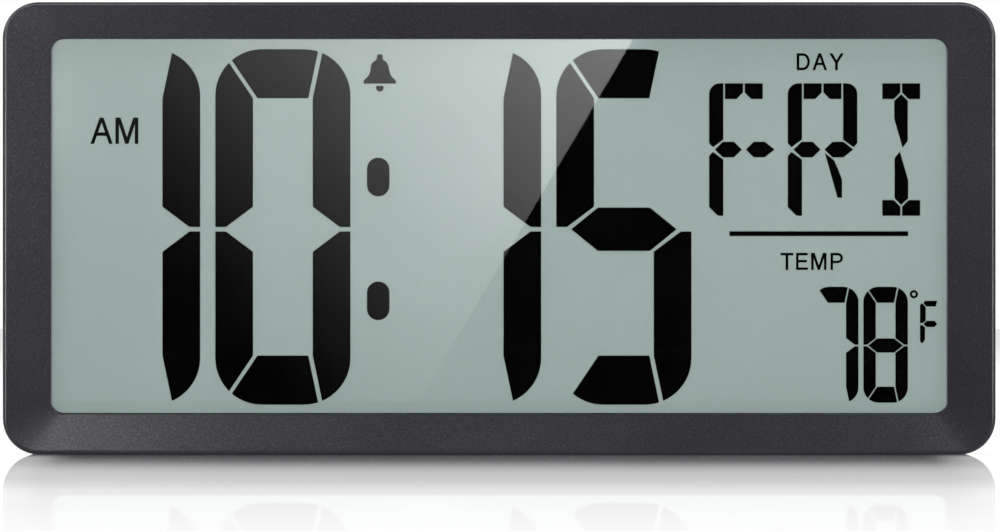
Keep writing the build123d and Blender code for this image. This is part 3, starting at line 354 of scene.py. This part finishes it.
def castAcrylic(look):
    material, tree, place = startMaterial("castAcrylic")
    behind = addNode(tree, "ShaderNodeNewGeometry").outputs["Backfacing"]
    index = addNode(tree, "ShaderNodeMapRange", None, {
        "Value": behind, "To Min": look["index"],
        "To Max": 1 / look["index"]})  # light meets both faces as if from the air
    edge = addNode(tree, "ShaderNodeFresnel", None, {"IOR": index.outputs["Result"]})
    ripple = addNode(tree, "ShaderNodeTexNoise", None, {
        "Vector": place, "Scale": perMm(look["ripple"]), "Detail": 1.0})
    polish = addNode(tree, "ShaderNodeMapRange", None, {
        "Value": ripple.outputs["Fac"], "To Min": look["polish"][0], "To Max": look["polish"][1]})
    clear = addNode(tree, "ShaderNodeBsdfTransparent", None, {"Color": look["passes"]})
    mirror = addNode(tree, "ShaderNodeBsdfGlossy", None, {
        "Color": linearColour(pureWhite), "Roughness": polish.outputs["Result"]})
    pane = addNode(tree, "ShaderNodeMixShader", None, {
        0: edge.outputs["Fac"], 1: clear.outputs[0], 2: mirror.outputs[0]})
    endMaterial(tree, pane.outputs[0])
    return material


dress(castAcrylic(windowSet), "display_window")


# Display glass under its polariser film: clear, with a trace of haze from the film
glassSet = {"cloud": 25.0, "haze": 0.002, "passes": (0.985, 0.99, 0.985, 1), "film": "#9aa5a2",
            "rough": 0.3, "ior": 1.5}


def filmedGlass(look):
    material, tree, place = startMaterial("filmedGlass")
    cloud = addNode(tree, "ShaderNodeTexNoise", None, {
        "Vector": place, "Scale": perMm(look["cloud"]), "Detail": 2.0})
    haze = addNode(tree, "ShaderNodeMapRange", None, {
        "Value": cloud.outputs["Fac"], "To Min": 0.0, "To Max": look["haze"]})
    clear = addNode(tree, "ShaderNodeBsdfTransparent", None, {"Color": look["passes"]})
    film = addNode(tree, "ShaderNodeBsdfPrincipled", None, {
        "Base Color": linearColour(look["film"]), "Roughness": look["rough"], "IOR": look["ior"]})
    pane = addNode(tree, "ShaderNodeMixShader", None, {
        0: haze.outputs["Result"], 1: clear.outputs[0], 2: film.outputs[0]})
    endMaterial(tree, pane.outputs[0])
    return material


dress(filmedGlass(glassSet), "lcd_front_glass")


# Rear glass over a scattering reflector: even grey-green with the film's very fine sparkle
groundSet = {
    "dark": "#9ca8a6", "light": "#a1adab", "toneSpan": (0.4, 0.8),
    "sparkle": 0.5, "cloud": 45.0, "sparkleShare": 0.6, "cloudShare": 0.4, "lift": 0.1,
    "rough": 0.08, "specular": 1.0, "ior": 1.5,
}


def displayGround(look):
    material, tree, place = startMaterial("reflectorGround")
    sparkle = addNode(tree, "ShaderNodeTexNoise", None, {
        "Vector": place, "Scale": perMm(look["sparkle"]), "Detail": 1.0})
    cloud = addNode(tree, "ShaderNodeTexNoise", None, {
        "Vector": place, "Scale": perMm(look["cloud"]), "Detail": 1.0})
    both = addNode(tree, "ShaderNodeMath", {"operation": "MULTIPLY_ADD"}, {
        0: sparkle.outputs["Fac"], 1: look["sparkleShare"], 2: look["lift"]})
    blend = addNode(tree, "ShaderNodeMath", {"operation": "MULTIPLY_ADD"}, {
        0: cloud.outputs["Fac"], 1: look["cloudShare"], 2: both.outputs[0]})
    tone = addNode(tree, "ShaderNodeValToRGB", None, {"Fac": blend.outputs[0]}, [
        (look["toneSpan"][0], linearColour(look["dark"])),
        (look["toneSpan"][1], linearColour(look["light"]))])
    ground = addNode(tree, "ShaderNodeBsdfPrincipled", None, {
        "Base Color": tone.outputs["Color"], "Roughness": look["rough"],
        "Specular IOR Level": look["specular"], "IOR": look["ior"]})
    endMaterial(tree, ground.outputs[0])
    return material


dress(displayGround(groundSet), "lcd_rear_glass")


# Switched liquid crystal: near black, with a faint unevenness and no shine of its own
crystalSet = {"dark": "#010101", "light": "#030303", "toneSpan": (0.35, 0.65), "cloud": 12.0,
              "rough": 0.6}


def switchedCrystal(look):
    material, tree, place = startMaterial("switchedCrystal")
    cloud = addNode(tree, "ShaderNodeTexNoise", None, {
        "Vector": place, "Scale": perMm(look["cloud"]), "Detail": 3.0})
    tone = addNode(tree, "ShaderNodeValToRGB", None, {"Fac": cloud.outputs["Fac"]}, [
        (look["toneSpan"][0], linearColour(look["dark"])),
        (look["toneSpan"][1], linearColour(look["light"]))])
    crystal = addNode(tree, "ShaderNodeBsdfPrincipled", None, {
        "Base Color": tone.outputs["Color"], "Roughness": look["rough"],
        "Specular IOR Level": 0.0})
    endMaterial(tree, crystal.outputs[0])
    return material


crystalBlack = switchedCrystal(crystalSet)
dress(crystalBlack, "lcd_time_digits", "lcd_day_letters", "lcd_temperature_digits", "lcd_icons")
for word in crystalPieces:
    word.data.materials.append(crystalBlack)
print("display dressed")

# Pad print: thick white ink, a little uneven where the pad lifted
printLook = {"dark": "#b9b9b6", "light": "#d2d2cf", "grain": 0.25, "drift": 3.0,
             "rough": (0.5, 0.62), "bump": 0.15, "depth": 0.02, "ior": 1.5, "shine": (0.28, 0.4)}
whiteInk = mouldedPlastic("whitePadPrint", printLook)
for piece in whitePieces:
    piece.data.materials.append(whiteInk)


# Foam, tissue tape and epoxy: dull, with small round cells
foamSet = {"toneSpan": (0.1, 0.7), "bump": 0.5, "widthPerDepth": 3, "rough": 0.9, "ior": 1.45}


def cellFoam(name, look):
    material, tree, place = startMaterial(name)
    cells = addNode(tree, "ShaderNodeTexVoronoi", None, {
        "Vector": place, "Scale": perMm(look["cell"])})
    tone = addNode(tree, "ShaderNodeValToRGB", None, {"Fac": cells.outputs["Distance"]}, [
        (foamSet["toneSpan"][0], linearColour(look["light"])),
        (foamSet["toneSpan"][1], linearColour(look["dark"]))])
    relief = addNode(tree, "ShaderNodeBump", None, {
        "Height": cells.outputs["Distance"], "Strength": foamSet["bump"],
        "Distance": look["cell"] * mm / foamSet["widthPerDepth"]})
    foam = addNode(tree, "ShaderNodeBsdfPrincipled", None, {
        "Base Color": tone.outputs["Color"], "Roughness": foamSet["rough"], "IOR": foamSet["ior"],
        "Normal": relief.outputs["Normal"]})
    endMaterial(tree, foam.outputs[0])
    return material


gasketLook = {"cell": 0.3, "dark": "#0b0b0c", "light": "#1a1a1b"}
tapeLook = {"cell": 0.6, "dark": "#101011", "light": "#1d1d1e"}
sealLook = {"cell": 0.5, "dark": "#7f8684", "light": "#939a98"}
pottingLook = {"cell": 2.5, "dark": "#0c0c0d", "light": "#18181a"}
dress(cellFoam("closedCellFoam", gasketLook), "lcd_gasket")
dress(cellFoam("tissueTape", tapeLook), "window_tape")
dress(cellFoam("curedEpoxySeal", sealLook), "lcd_edge_seal")
dress(cellFoam("pottingEpoxy", pottingLook), "controller_chip", "thermistor")


# Layered silicone connector: dark conducting stripes across its length, drawn far wider than real
connectorSet = {"stripe": 0.5, "waveRate": 20, "dark": "#2a2a2c", "light": "#b9a8a4",
                "toneSpan": (0.4, 0.6), "rough": 0.6, "ior": 1.43}


def layeredSilicone(look):
    material, tree, place = startMaterial("layeredSilicone")
    stripes = addNode(tree, "ShaderNodeTexWave", {"bands_direction": "X"}, {
        "Vector": place, "Scale": perMm(look["stripe"]) / look["waveRate"], "Distortion": 0.0})
    tone = addNode(tree, "ShaderNodeValToRGB", None, {"Fac": stripes.outputs["Fac"]}, [
        (look["toneSpan"][0], linearColour(look["dark"])),
        (look["toneSpan"][1], linearColour(look["light"]))])
    rubber = addNode(tree, "ShaderNodeBsdfPrincipled", None, {
        "Base Color": tone.outputs["Color"], "Roughness": look["rough"], "IOR": look["ior"]})
    endMaterial(tree, rubber.outputs[0])
    return material


dress(layeredSilicone(connectorSet), "zebra_strip")


# Board under green solder mask: paler lines where the mask runs over copper
boardSet = {"field": 12.0, "fieldWidth": 0.9, "fieldHeight": 0.22, "track": 0.03, "trackEdge": 0.2,
            "mask": ("#12542a", "#155c2f"), "overCopper": "#2b7a45", "bump": 0.4, "copper": 0.035,
            "rough": 0.32, "ior": 1.5}


def solderMask(look):
    material, tree, place = startMaterial("solderMask")
    turned = addNode(tree, "ShaderNodeMapping", None, {
        "Vector": place, "Rotation": (math.pi / 2, 0, 0)})
    tracks = addNode(tree, "ShaderNodeTexBrick", {"offset": 0.5}, {
        "Vector": turned.outputs[0], "Scale": perMm(look["field"]), "Mortar Size": look["track"],
        "Mortar Smooth": look["trackEdge"], "Brick Width": look["fieldWidth"],
        "Row Height": look["fieldHeight"], "Color1": linearColour(look["mask"][0]),
        "Color2": linearColour(look["mask"][1]), "Mortar": linearColour(look["overCopper"])})
    relief = addNode(tree, "ShaderNodeBump", None, {
        "Height": tracks.outputs["Fac"], "Strength": look["bump"], "Distance": look["copper"] * mm})
    mask = addNode(tree, "ShaderNodeBsdfPrincipled", None, {
        "Base Color": tracks.outputs["Color"], "Roughness": look["rough"], "IOR": look["ior"],
        "Normal": relief.outputs["Normal"]})
    endMaterial(tree, mask.outputs[0])
    return material


dress(solderMask(boardSet), "circuit_board")


# Metals and other smooth skins: fine lines along the rolling or drawing stretch the gloss
metalSet = {"span": (0.3, 0.7), "bump": 0.15, "depth": 0.02}


def rolledMetal(name, look):
    material, tree, place = startMaterial(name)
    drawn = addNode(tree, "ShaderNodeMapping", None, {"Vector": place, "Scale": look["stretch"]})
    lines = addNode(tree, "ShaderNodeTexNoise", None, {
        "Vector": drawn.outputs[0], "Scale": perMm(look["line"]), "Detail": 3.0})
    tone = addNode(tree, "ShaderNodeValToRGB", None, {"Fac": lines.outputs["Fac"]}, [
        (metalSet["span"][0], linearColour(look["dark"])),
        (metalSet["span"][1], linearColour(look["light"]))])
    sheen = addNode(tree, "ShaderNodeMapRange", None, {
        "Value": lines.outputs["Fac"],
        "From Min": metalSet["span"][0], "From Max": metalSet["span"][1],
        "To Min": look["rough"][0], "To Max": look["rough"][1]})
    relief = addNode(tree, "ShaderNodeBump", None, {
        "Height": lines.outputs["Fac"], "Strength": metalSet["bump"],
        "Distance": metalSet["depth"] * mm})
    metal = addNode(tree, "ShaderNodeBsdfPrincipled", None, {
        "Base Color": tone.outputs["Color"], "Roughness": sheen.outputs["Result"],
        "Metallic": look["metal"], "Normal": relief.outputs["Normal"]})
    endMaterial(tree, metal.outputs[0])
    return material


springLook = {"dark": "#b4b4b0", "light": "#cfcfca", "line": 0.4, "stretch": (1, 1, 0.1),
              "rough": (0.22, 0.34), "metal": 1.0}
screwLook = {"dark": "#8f9193", "light": "#b3b5b6", "line": 0.5, "stretch": (1, 1, 1),
             "rough": (0.28, 0.42), "metal": 1.0}
canLook = {"dark": "#b9b9b6", "light": "#cccbc6", "line": 0.4, "stretch": (0.1, 1, 1),
           "rough": (0.25, 0.38), "metal": 1.0}
brassLook = {"dark": "#c19a54", "light": "#d6b46c", "line": 0.5, "stretch": (0.1, 1, 1),
             "rough": (0.24, 0.36), "metal": 1.0}
filmLook = {"dark": "#c2c7c4", "light": "#d0d5d2", "line": 0.6, "stretch": (0.2, 1, 1),
            "rough": (0.3, 0.45), "metal": 1.0}
silverLook = {"dark": "#cfccc2", "light": "#dedbd2", "line": 0.6, "stretch": (1, 1, 1),
              "rough": (0.45, 0.6), "metal": 0.0}
sleeveLook = {"dark": "#1a2238", "light": "#26304a", "line": 1.5, "stretch": (1, 1, 1),
              "rough": (0.3, 0.4), "metal": 0.0}
dress(rolledMetal("nickelSpringSteel", springLook),
      "contact_negative", "contact_positive", "contact_bridges")
dress(rolledMetal("zincPlatedSteel", screwLook), "cover_screws", "holder_screws", "board_screws")
dress(rolledMetal("tinnedCan", canLook), "quartz_crystal")
dress(rolledMetal("rolledBrass", brassLook), "buzzer_disc")
dress(rolledMetal("metallisedFilm", filmLook), "lcd_reflector")
dress(rolledMetal("silveredCeramic", silverLook), "buzzer_element")
dress(rolledMetal("shrinkSleeve", sleeveLook), "capacitors")
print("inside pieces dressed")


# Dry cell: printed wrap with one band near the positive end, bare steel at both ends
cellSet = {
    "wrap": "#c9ccce", "band": "#2f6b4f", "steel": "#b9b9b6", "ink": "#3a3d40",
    "wrapFrom": 0.012, "inkFrom": 0.10, "inkTo": 0.115, "bandFrom": 0.70, "wrapTo": 0.955,
    "count": 4, "dust": 1.2, "rough": (0.22, 0.36),
}


def printedWrap(name, look, poleUp):
    material, tree, place = startMaterial(name)
    low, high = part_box(name)
    ends = (low[0], high[0]) if poleUp else (high[0], low[0])
    along = addNode(tree, "ShaderNodeSeparateXYZ", None, {"Vector": place})
    share = addNode(tree, "ShaderNodeMapRange", None, {
        "Value": along.outputs["X"], "From Min": ends[0], "From Max": ends[1]})
    bands = addNode(tree, "ShaderNodeValToRGB", None, {"Fac": share.outputs["Result"]}, [
        (0.0, linearColour(look["steel"])), (look["wrapFrom"], linearColour(look["wrap"])),
        (look["inkFrom"], linearColour(look["ink"])), (look["inkTo"], linearColour(look["wrap"])),
        (look["bandFrom"], linearColour(look["band"])),
        (look["wrapTo"], linearColour(look["steel"]))])
    bands.color_ramp.interpolation = "CONSTANT"
    bare = addNode(tree, "ShaderNodeValToRGB", None, {"Fac": share.outputs["Result"]}, [
        (0.0, (1, 1, 1, 1)), (look["wrapFrom"], (0, 0, 0, 1)), (look["wrapTo"], (1, 1, 1, 1))])
    bare.color_ramp.interpolation = "CONSTANT"
    dust = addNode(tree, "ShaderNodeTexNoise", None, {
        "Vector": place, "Scale": perMm(look["dust"]), "Detail": 3.0})
    sheen = addNode(tree, "ShaderNodeMapRange", None, {
        "Value": dust.outputs["Fac"], "To Min": look["rough"][0], "To Max": look["rough"][1]})
    wrap = addNode(tree, "ShaderNodeBsdfPrincipled", None, {
        "Base Color": bands.outputs["Color"], "Metallic": bare.outputs["Color"],
        "Roughness": sheen.outputs["Result"]})
    endMaterial(tree, wrap.outputs[0])
    return material


for number in range(1, cellSet["count"] + 1):
    name = "battery_cell_" + str(number)
    dress(printedWrap(name, cellSet, number % 2 == 0), name)
print("cells dressed")

# White floor with a gloss that fades away from the clock, so the reflection does too
floorSet = {
    "size": 8.0,
    "colour": "#f7f7f7",
    "glow": 0.65,  # share of plain white that the camera sees
    "whiteTop": 2.0,
    # level of that plain white over the reach, in shares of its top
    "white": [(0.25, 0.56), (0.6, 0.82), (0.72, 0.685), (0.98, 0.585), (1.0, 0.56)],
    "rough": 0.015,
    "ior": 1.5,
    "halfWidth": 0.18,  # the clock's own footprint, where the gloss is strongest
    "front": -0.014,
    "reach": 0.59,  # how far in front the gloss is gone
    "sideReach": 0.02,
    "backReach": 0.05,
    "grazing": (0.6, 0.75),  # Fresnel shares between which the gloss comes in, at a low angle only
    # share of gloss over the reach: strong at the contact, even under the bezel's image, then weaker
    "fade": [(0.0, 0.975), (0.11, 0.89), (0.24, 0.565), (0.3, 0.52), (0.43, 0.505), (0.54, 0.425),
             (0.6, 0.425), (0.72, 0.295), (0.98, 0.11), (1.0, 0.0)],
    "taper": 0.293,  # the glossy patch narrows towards the front
    "endRun": 0.38,  # share of the reach over which its softer ends draw out
    "endStart": (0.008, 0.0),
    "endStop": (0.028, 0.016),
    # share of that gloss left at its ends
    "endLevel": [(0.0, 0.95), (0.05, 0.62), (0.13, 0.66), (0.26, 0.76), (0.38, 0.84)],
    "drapeFrom": -0.02,  # in front of this line the gloss of the clock sees a dark table
}
bpy.ops.object.select_all(action="DESELECT")
bpy.ops.mesh.primitive_plane_add(size=floorSet["size"], location=(0, 0, 0))
floor = bpy.context.object
floor.name = "studio_floor"
material, tree, place = startMaterial("glossWhiteFloor")
spot = addNode(tree, "ShaderNodeSeparateXYZ", None, {"Vector": place})
aside = addNode(tree, "ShaderNodeMath", {"operation": "ABSOLUTE"}, {0: spot.outputs["X"]})
ahead = addNode(tree, "ShaderNodeMapRange", None, {
    "Value": spot.outputs["Y"], "From Min": floorSet["front"],
    "From Max": floorSet["front"] - floorSet["reach"]})
outward = addNode(tree, "ShaderNodeMapRange", None, {
    "Value": aside.outputs[0], "From Min": floorSet["halfWidth"],
    "From Max": floorSet["halfWidth"] + floorSet["sideReach"]})
behind = addNode(tree, "ShaderNodeMapRange", None, {
    "Value": spot.outputs["Y"], "From Min": floorSet["front"],
    "From Max": floorSet["front"] + floorSet["backReach"]})
either = addNode(tree, "ShaderNodeMath", {"operation": "MAXIMUM"}, {
    0: outward.outputs["Result"], 1: behind.outputs["Result"]})
share = addNode(tree, "ShaderNodeMath", {"operation": "MAXIMUM"}, {
    0: ahead.outputs["Result"], 1: either.outputs[0]})
fade = addNode(tree, "ShaderNodeValToRGB", None, {"Fac": share.outputs[0]},
               [(p, (v, v, v, 1)) for p, v in floorSet["fade"]])
path = addNode(tree, "ShaderNodeLightPath")
seen = addNode(tree, "ShaderNodeMath", {"operation": "MULTIPLY"}, {
    0: path.outputs["Is Camera Ray"], 1: floorSet["glow"]})
paint = addNode(tree, "ShaderNodeBsdfDiffuse", None, {"Color": linearColour(floorSet["colour"])})
white = addNode(tree, "ShaderNodeValToRGB", None, {"Fac": share.outputs[0]},
                [(p, (v, v, v, 1)) for p, v in floorSet["white"]])
whiteLevel = addNode(tree, "ShaderNodeMath", {"operation": "MULTIPLY"}, {
    0: white.outputs["Color"], 1: floorSet["whiteTop"]})
glow = addNode(tree, "ShaderNodeEmission", None, {
    "Color": linearColour(pureWhite), "Strength": whiteLevel.outputs[0]})
plain = addNode(tree, "ShaderNodeMixShader", None, {
    0: seen.outputs[0], 1: paint.outputs[0], 2: glow.outputs[0]})
gloss = addNode(tree, "ShaderNodeBsdfGlossy", None, {
    "Color": linearColour(pureWhite), "Roughness": floorSet["rough"]})
slant = addNode(tree, "ShaderNodeFresnel", None, {"IOR": floorSet["ior"]})
mirrorShare = addNode(tree, "ShaderNodeMapRange", None, {
    "Value": slant.outputs["Fac"],
    "From Min": floorSet["grazing"][0], "From Max": floorSet["grazing"][1]})
patchSide = addNode(tree, "ShaderNodeMapRange", None, {
    "Value": ahead.outputs["Result"], "To Min": floorSet["halfWidth"],
    "To Max": floorSet["halfWidth"] * (1 - floorSet["taper"])})
inset = addNode(tree, "ShaderNodeMath", {"operation": "SUBTRACT"}, {
    0: patchSide.outputs["Result"], 1: aside.outputs[0]})
endStart = addNode(tree, "ShaderNodeMapRange", None, {
    "Value": ahead.outputs["Result"], "From Max": floorSet["endRun"],
    "To Min": floorSet["endStart"][0], "To Max": floorSet["endStart"][1]})
endStop = addNode(tree, "ShaderNodeMapRange", None, {
    "Value": ahead.outputs["Result"], "From Max": floorSet["endRun"],
    "To Min": floorSet["endStop"][0], "To Max": floorSet["endStop"][1]})
endLevel = addNode(tree, "ShaderNodeValToRGB", None, {"Fac": ahead.outputs["Result"]},
                   [(p, (v, v, v, 1)) for p, v in floorSet["endLevel"]])
ends = addNode(tree, "ShaderNodeMapRange", {"interpolation_type": "SMOOTHSTEP"}, {
    "Value": inset.outputs[0], "From Min": endStart.outputs["Result"],
    "From Max": endStop.outputs["Result"], "To Min": endLevel.outputs["Color"], "To Max": 1.0})
even = addNode(tree, "ShaderNodeMath", {"operation": "MULTIPLY"}, {
    0: fade.outputs["Color"], 1: ends.outputs["Result"]})
shine = addNode(tree, "ShaderNodeMath", {"operation": "MULTIPLY"}, {
    0: even.outputs[0], 1: mirrorShare.outputs["Result"]})
sheet = addNode(tree, "ShaderNodeMixShader", None, {
    0: shine.outputs[0], 1: plain.outputs[0], 2: gloss.outputs[0]})
nearer = addNode(tree, "ShaderNodeMath", {"operation": "LESS_THAN"}, {
    0: spot.outputs["Y"], 1: floorSet["drapeFrom"]})
shaded = addNode(tree, "ShaderNodeMath", {"operation": "MULTIPLY"}, {
    0: nearer.outputs[0], 1: path.outputs["Is Glossy Ray"]})
cloth = addNode(tree, "ShaderNodeBsdfDiffuse", None, {"Color": linearColour(clothBlack)})
draped = addNode(tree, "ShaderNodeMixShader", None, {
    0: shaded.outputs[0], 1: sheet.outputs[0], 2: cloth.outputs[0]})
endMaterial(tree, draped.outputs[0])
floor.data.materials.append(material)

# World: white to the eye and in gloss, a plain grey level as light
worldLevel = 0.2
world = bpy.data.worlds.new("whiteStudio")
bpy.context.scene.world = world
world.use_nodes = True
tree = world.node_tree
tree.nodes.clear()
path = addNode(tree, "ShaderNodeLightPath")
eye = addNode(tree, "ShaderNodeMath", {"operation": "ADD"}, {
    0: path.outputs["Is Camera Ray"], 1: path.outputs["Is Glossy Ray"]})
anyEye = addNode(tree, "ShaderNodeMath", {"operation": "ADD", "use_clamp": True}, {
    0: eye.outputs[0], 1: path.outputs["Is Transmission Ray"]})
level = addNode(tree, "ShaderNodeMapRange", None, {
    "Value": anyEye.outputs[0], "To Min": worldLevel, "To Max": 1.0})
sky = addNode(tree, "ShaderNodeBackground", None, {
    "Color": linearColour(pureWhite), "Strength": level.outputs["Result"]})
addNode(tree, "ShaderNodeOutputWorld", None, {"Surface": sky.outputs[0]})


# Studio cards stand out of the picture and show only in gloss
def makeCard(name, corners, material):
    bpy.ops.object.select_all(action="DESELECT")
    bpy.ops.mesh.primitive_plane_add(size=1, location=(0, 0, 0))
    card = bpy.context.object
    card.name = name
    for vertex, corner in zip(card.data.vertices, corners):
        vertex.co = corner
    card.data.materials.append(material)
    card.visible_camera = False
    card.visible_diffuse = False
    card.visible_shadow = False
    card.visible_transmission = False


velvet, tree, place = startMaterial("blackVelvet")
back = addNode(tree, "ShaderNodeNewGeometry").outputs["Backfacing"]
cloth = addNode(tree, "ShaderNodeBsdfDiffuse", None, {"Color": linearColour(clothBlack)})
unseen = addNode(tree, "ShaderNodeBsdfTransparent")
oneSided = addNode(tree, "ShaderNodeMixShader", None, {
    0: back, 1: cloth.outputs[0], 2: unseen.outputs[0]})  # dark only where it faces the clock
endMaterial(tree, oneSided.outputs[0])
wide, near, far, foot, head, roofEnd = 1.6, -3.2, 2.5, -0.2, 2.6, 0.3
# Corners run low left, low right, high left, high right
flags = {
    "flag_behind_camera": [(wide, near, foot), (-wide, near, foot), (wide, near, head),
                           (-wide, near, head)],
    "flag_left": [(-wide, near, foot), (-wide, far, foot), (-wide, near, head), (-wide, far, head)],
    "flag_right": [(wide, far, foot), (wide, near, foot), (wide, far, head), (wide, near, head)],
    "flag_above": [(-wide, roofEnd, head), (wide, roofEnd, head), (-wide, near, head),
                   (wide, near, head)],
}
for name, corners in flags.items():
    makeCard(name, corners, velvet)

# A lit card with a slanting edge gives the window its soft glare
glareSet = {
    "strength": 2.5, "run": 0.222, "top": 0.1647, "slope": (0.661, 0.0, 0.750), "bend": 2.0,
    "corners": [(-0.24, -0.4606, 0.0075), (-0.0358, -0.4606, 0.0075),
                (-0.24, -0.4606, 0.185), (0.0688, -0.4606, 0.185)],
}
glare, tree, place = startMaterial("glareCard")
climb = addNode(tree, "ShaderNodeVectorMath", {"operation": "DOT_PRODUCT"}, {
    0: place, 1: glareSet["slope"]})
ramp = addNode(tree, "ShaderNodeMapRange", None, {
    "Value": climb.outputs["Value"], "From Min": glareSet["top"] - glareSet["run"],
    "From Max": glareSet["top"]})
curve = addNode(tree, "ShaderNodeMath", {"operation": "POWER"}, {
    0: ramp.outputs["Result"], 1: glareSet["bend"]})
power = addNode(tree, "ShaderNodeMath", {"operation": "MULTIPLY"}, {
    0: curve.outputs[0], 1: glareSet["strength"]})
endMaterial(tree, addNode(tree, "ShaderNodeEmission", None, {
    "Color": linearColour(pureWhite), "Strength": power.outputs[0]}).outputs[0])
makeCard("glare_card", glareSet["corners"], glare)


# Lit strips beside and above the clock draw the thin bright line round its rim
stripSet = {"side": 22.0, "topMiddle": 2.0, "topEnds": 9.0, "middleTo": 0.04, "endsFrom": 0.16}


def stripLight(name, middle, ends):
    material, tree, place = startMaterial(name)
    across = addNode(tree, "ShaderNodeSeparateXYZ", None, {"Vector": place})
    off = addNode(tree, "ShaderNodeMath", {"operation": "ABSOLUTE"}, {0: across.outputs["X"]})
    level = addNode(tree, "ShaderNodeMapRange", {"interpolation_type": "SMOOTHSTEP"}, {
        "Value": off.outputs[0], "From Min": stripSet["middleTo"], "From Max": stripSet["endsFrom"],
        "To Min": middle, "To Max": ends})
    endMaterial(tree, addNode(tree, "ShaderNodeEmission", None, {
        "Color": linearColour(pureWhite), "Strength": level.outputs["Result"]}).outputs[0])
    return material


sideStrip = stripLight("sideStrip", stripSet["side"], stripSet["side"])
topStrip = stripLight("topStrip", stripSet["topMiddle"], stripSet["topEnds"])
strips = {
    "left_strip": (sideStrip, [(-0.561, -0.712, 0.0), (-0.739, -0.582, 0.0),
                               (-0.561, -0.712, 0.19), (-0.739, -0.582, 0.19)]),
    "right_strip": (sideStrip, [(0.561, -0.712, 0.0), (0.739, -0.582, 0.0),
                                (0.561, -0.712, 0.19), (0.739, -0.582, 0.19)]),
    "top_strip": (topStrip, [(-0.4, -0.1225, 0.2691), (0.4, -0.1225, 0.2691),
                             (-0.4, -0.0895, 0.2949), (0.4, -0.0895, 0.2949)]),
    "top_left_strip": (sideStrip, [(-0.68, -0.15, 0.248), (-0.4, -0.15, 0.248),
                                   (-0.68, -0.0895, 0.2949), (-0.4, -0.0895, 0.2949)]),
    "top_right_strip": (sideStrip, [(0.4, -0.15, 0.248), (0.68, -0.15, 0.248),
                                    (0.4, -0.0895, 0.2949), (0.68, -0.0895, 0.2949)]),
}
for name, (light, corners) in strips.items():
    makeCard(name, corners, light)
print("stage set")

# Lamps: a soft front key and top that leave no mirror image, small accents seen only in gloss,
# and two soft fills behind
lampSet = {
    "front_key": {"place": (0, -2.6, 0.1), "aim": (0, 0, 0.08), "size": (0.6, 0.2), "watts": 58.0,
                  "inGloss": False, "inDiffuse": True},
    "top_box": {"place": (0, -0.5, 1.6), "aim": (0, -0.1, 0.0), "size": (1.4, 0.9), "watts": 12.0,
                "inGloss": False, "inDiffuse": True},
    "left_accent": {"place": (-0.24, -0.471, 0.14), "aim": (-0.14, 0, 0.0), "size": (0.053, 0.04),
                    "watts": 0.44, "inGloss": True, "inDiffuse": False},
    "right_accent": {"place": (0.24, -0.471, 0.14), "aim": (0.14, 0, 0.0), "size": (0.053, 0.04),
                     "watts": 0.08, "inGloss": True, "inDiffuse": False},
    "rear_left": {"place": (-0.9, 1.3, 1.4), "aim": (0, 0, 0.08), "size": (0.9, 0.9), "watts": 16.0,
                  "inGloss": False, "inDiffuse": True},
    "rear_right": {"place": (0.9, 1.3, 1.4), "aim": (0, 0, 0.08), "size": (0.9, 0.9), "watts": 16.0,
                   "inGloss": False, "inDiffuse": True},
}
for name, look in lampSet.items():
    bpy.ops.object.select_all(action="DESELECT")
    bpy.ops.object.light_add(type="AREA", location=look["place"])
    lamp = bpy.context.object
    lamp.name = name
    aim = Vector(look["aim"]) - Vector(look["place"])
    lamp.rotation_euler = aim.to_track_quat("-Z", "Y").to_euler()
    lamp.data.shape = "RECTANGLE"
    lamp.data.size, lamp.data.size_y = look["size"]
    lamp.data.energy = look["watts"]
    lamp.visible_camera = False
    lamp.visible_glossy = look["inGloss"]
    lamp.visible_diffuse = look["inDiffuse"]
print("lamps set")
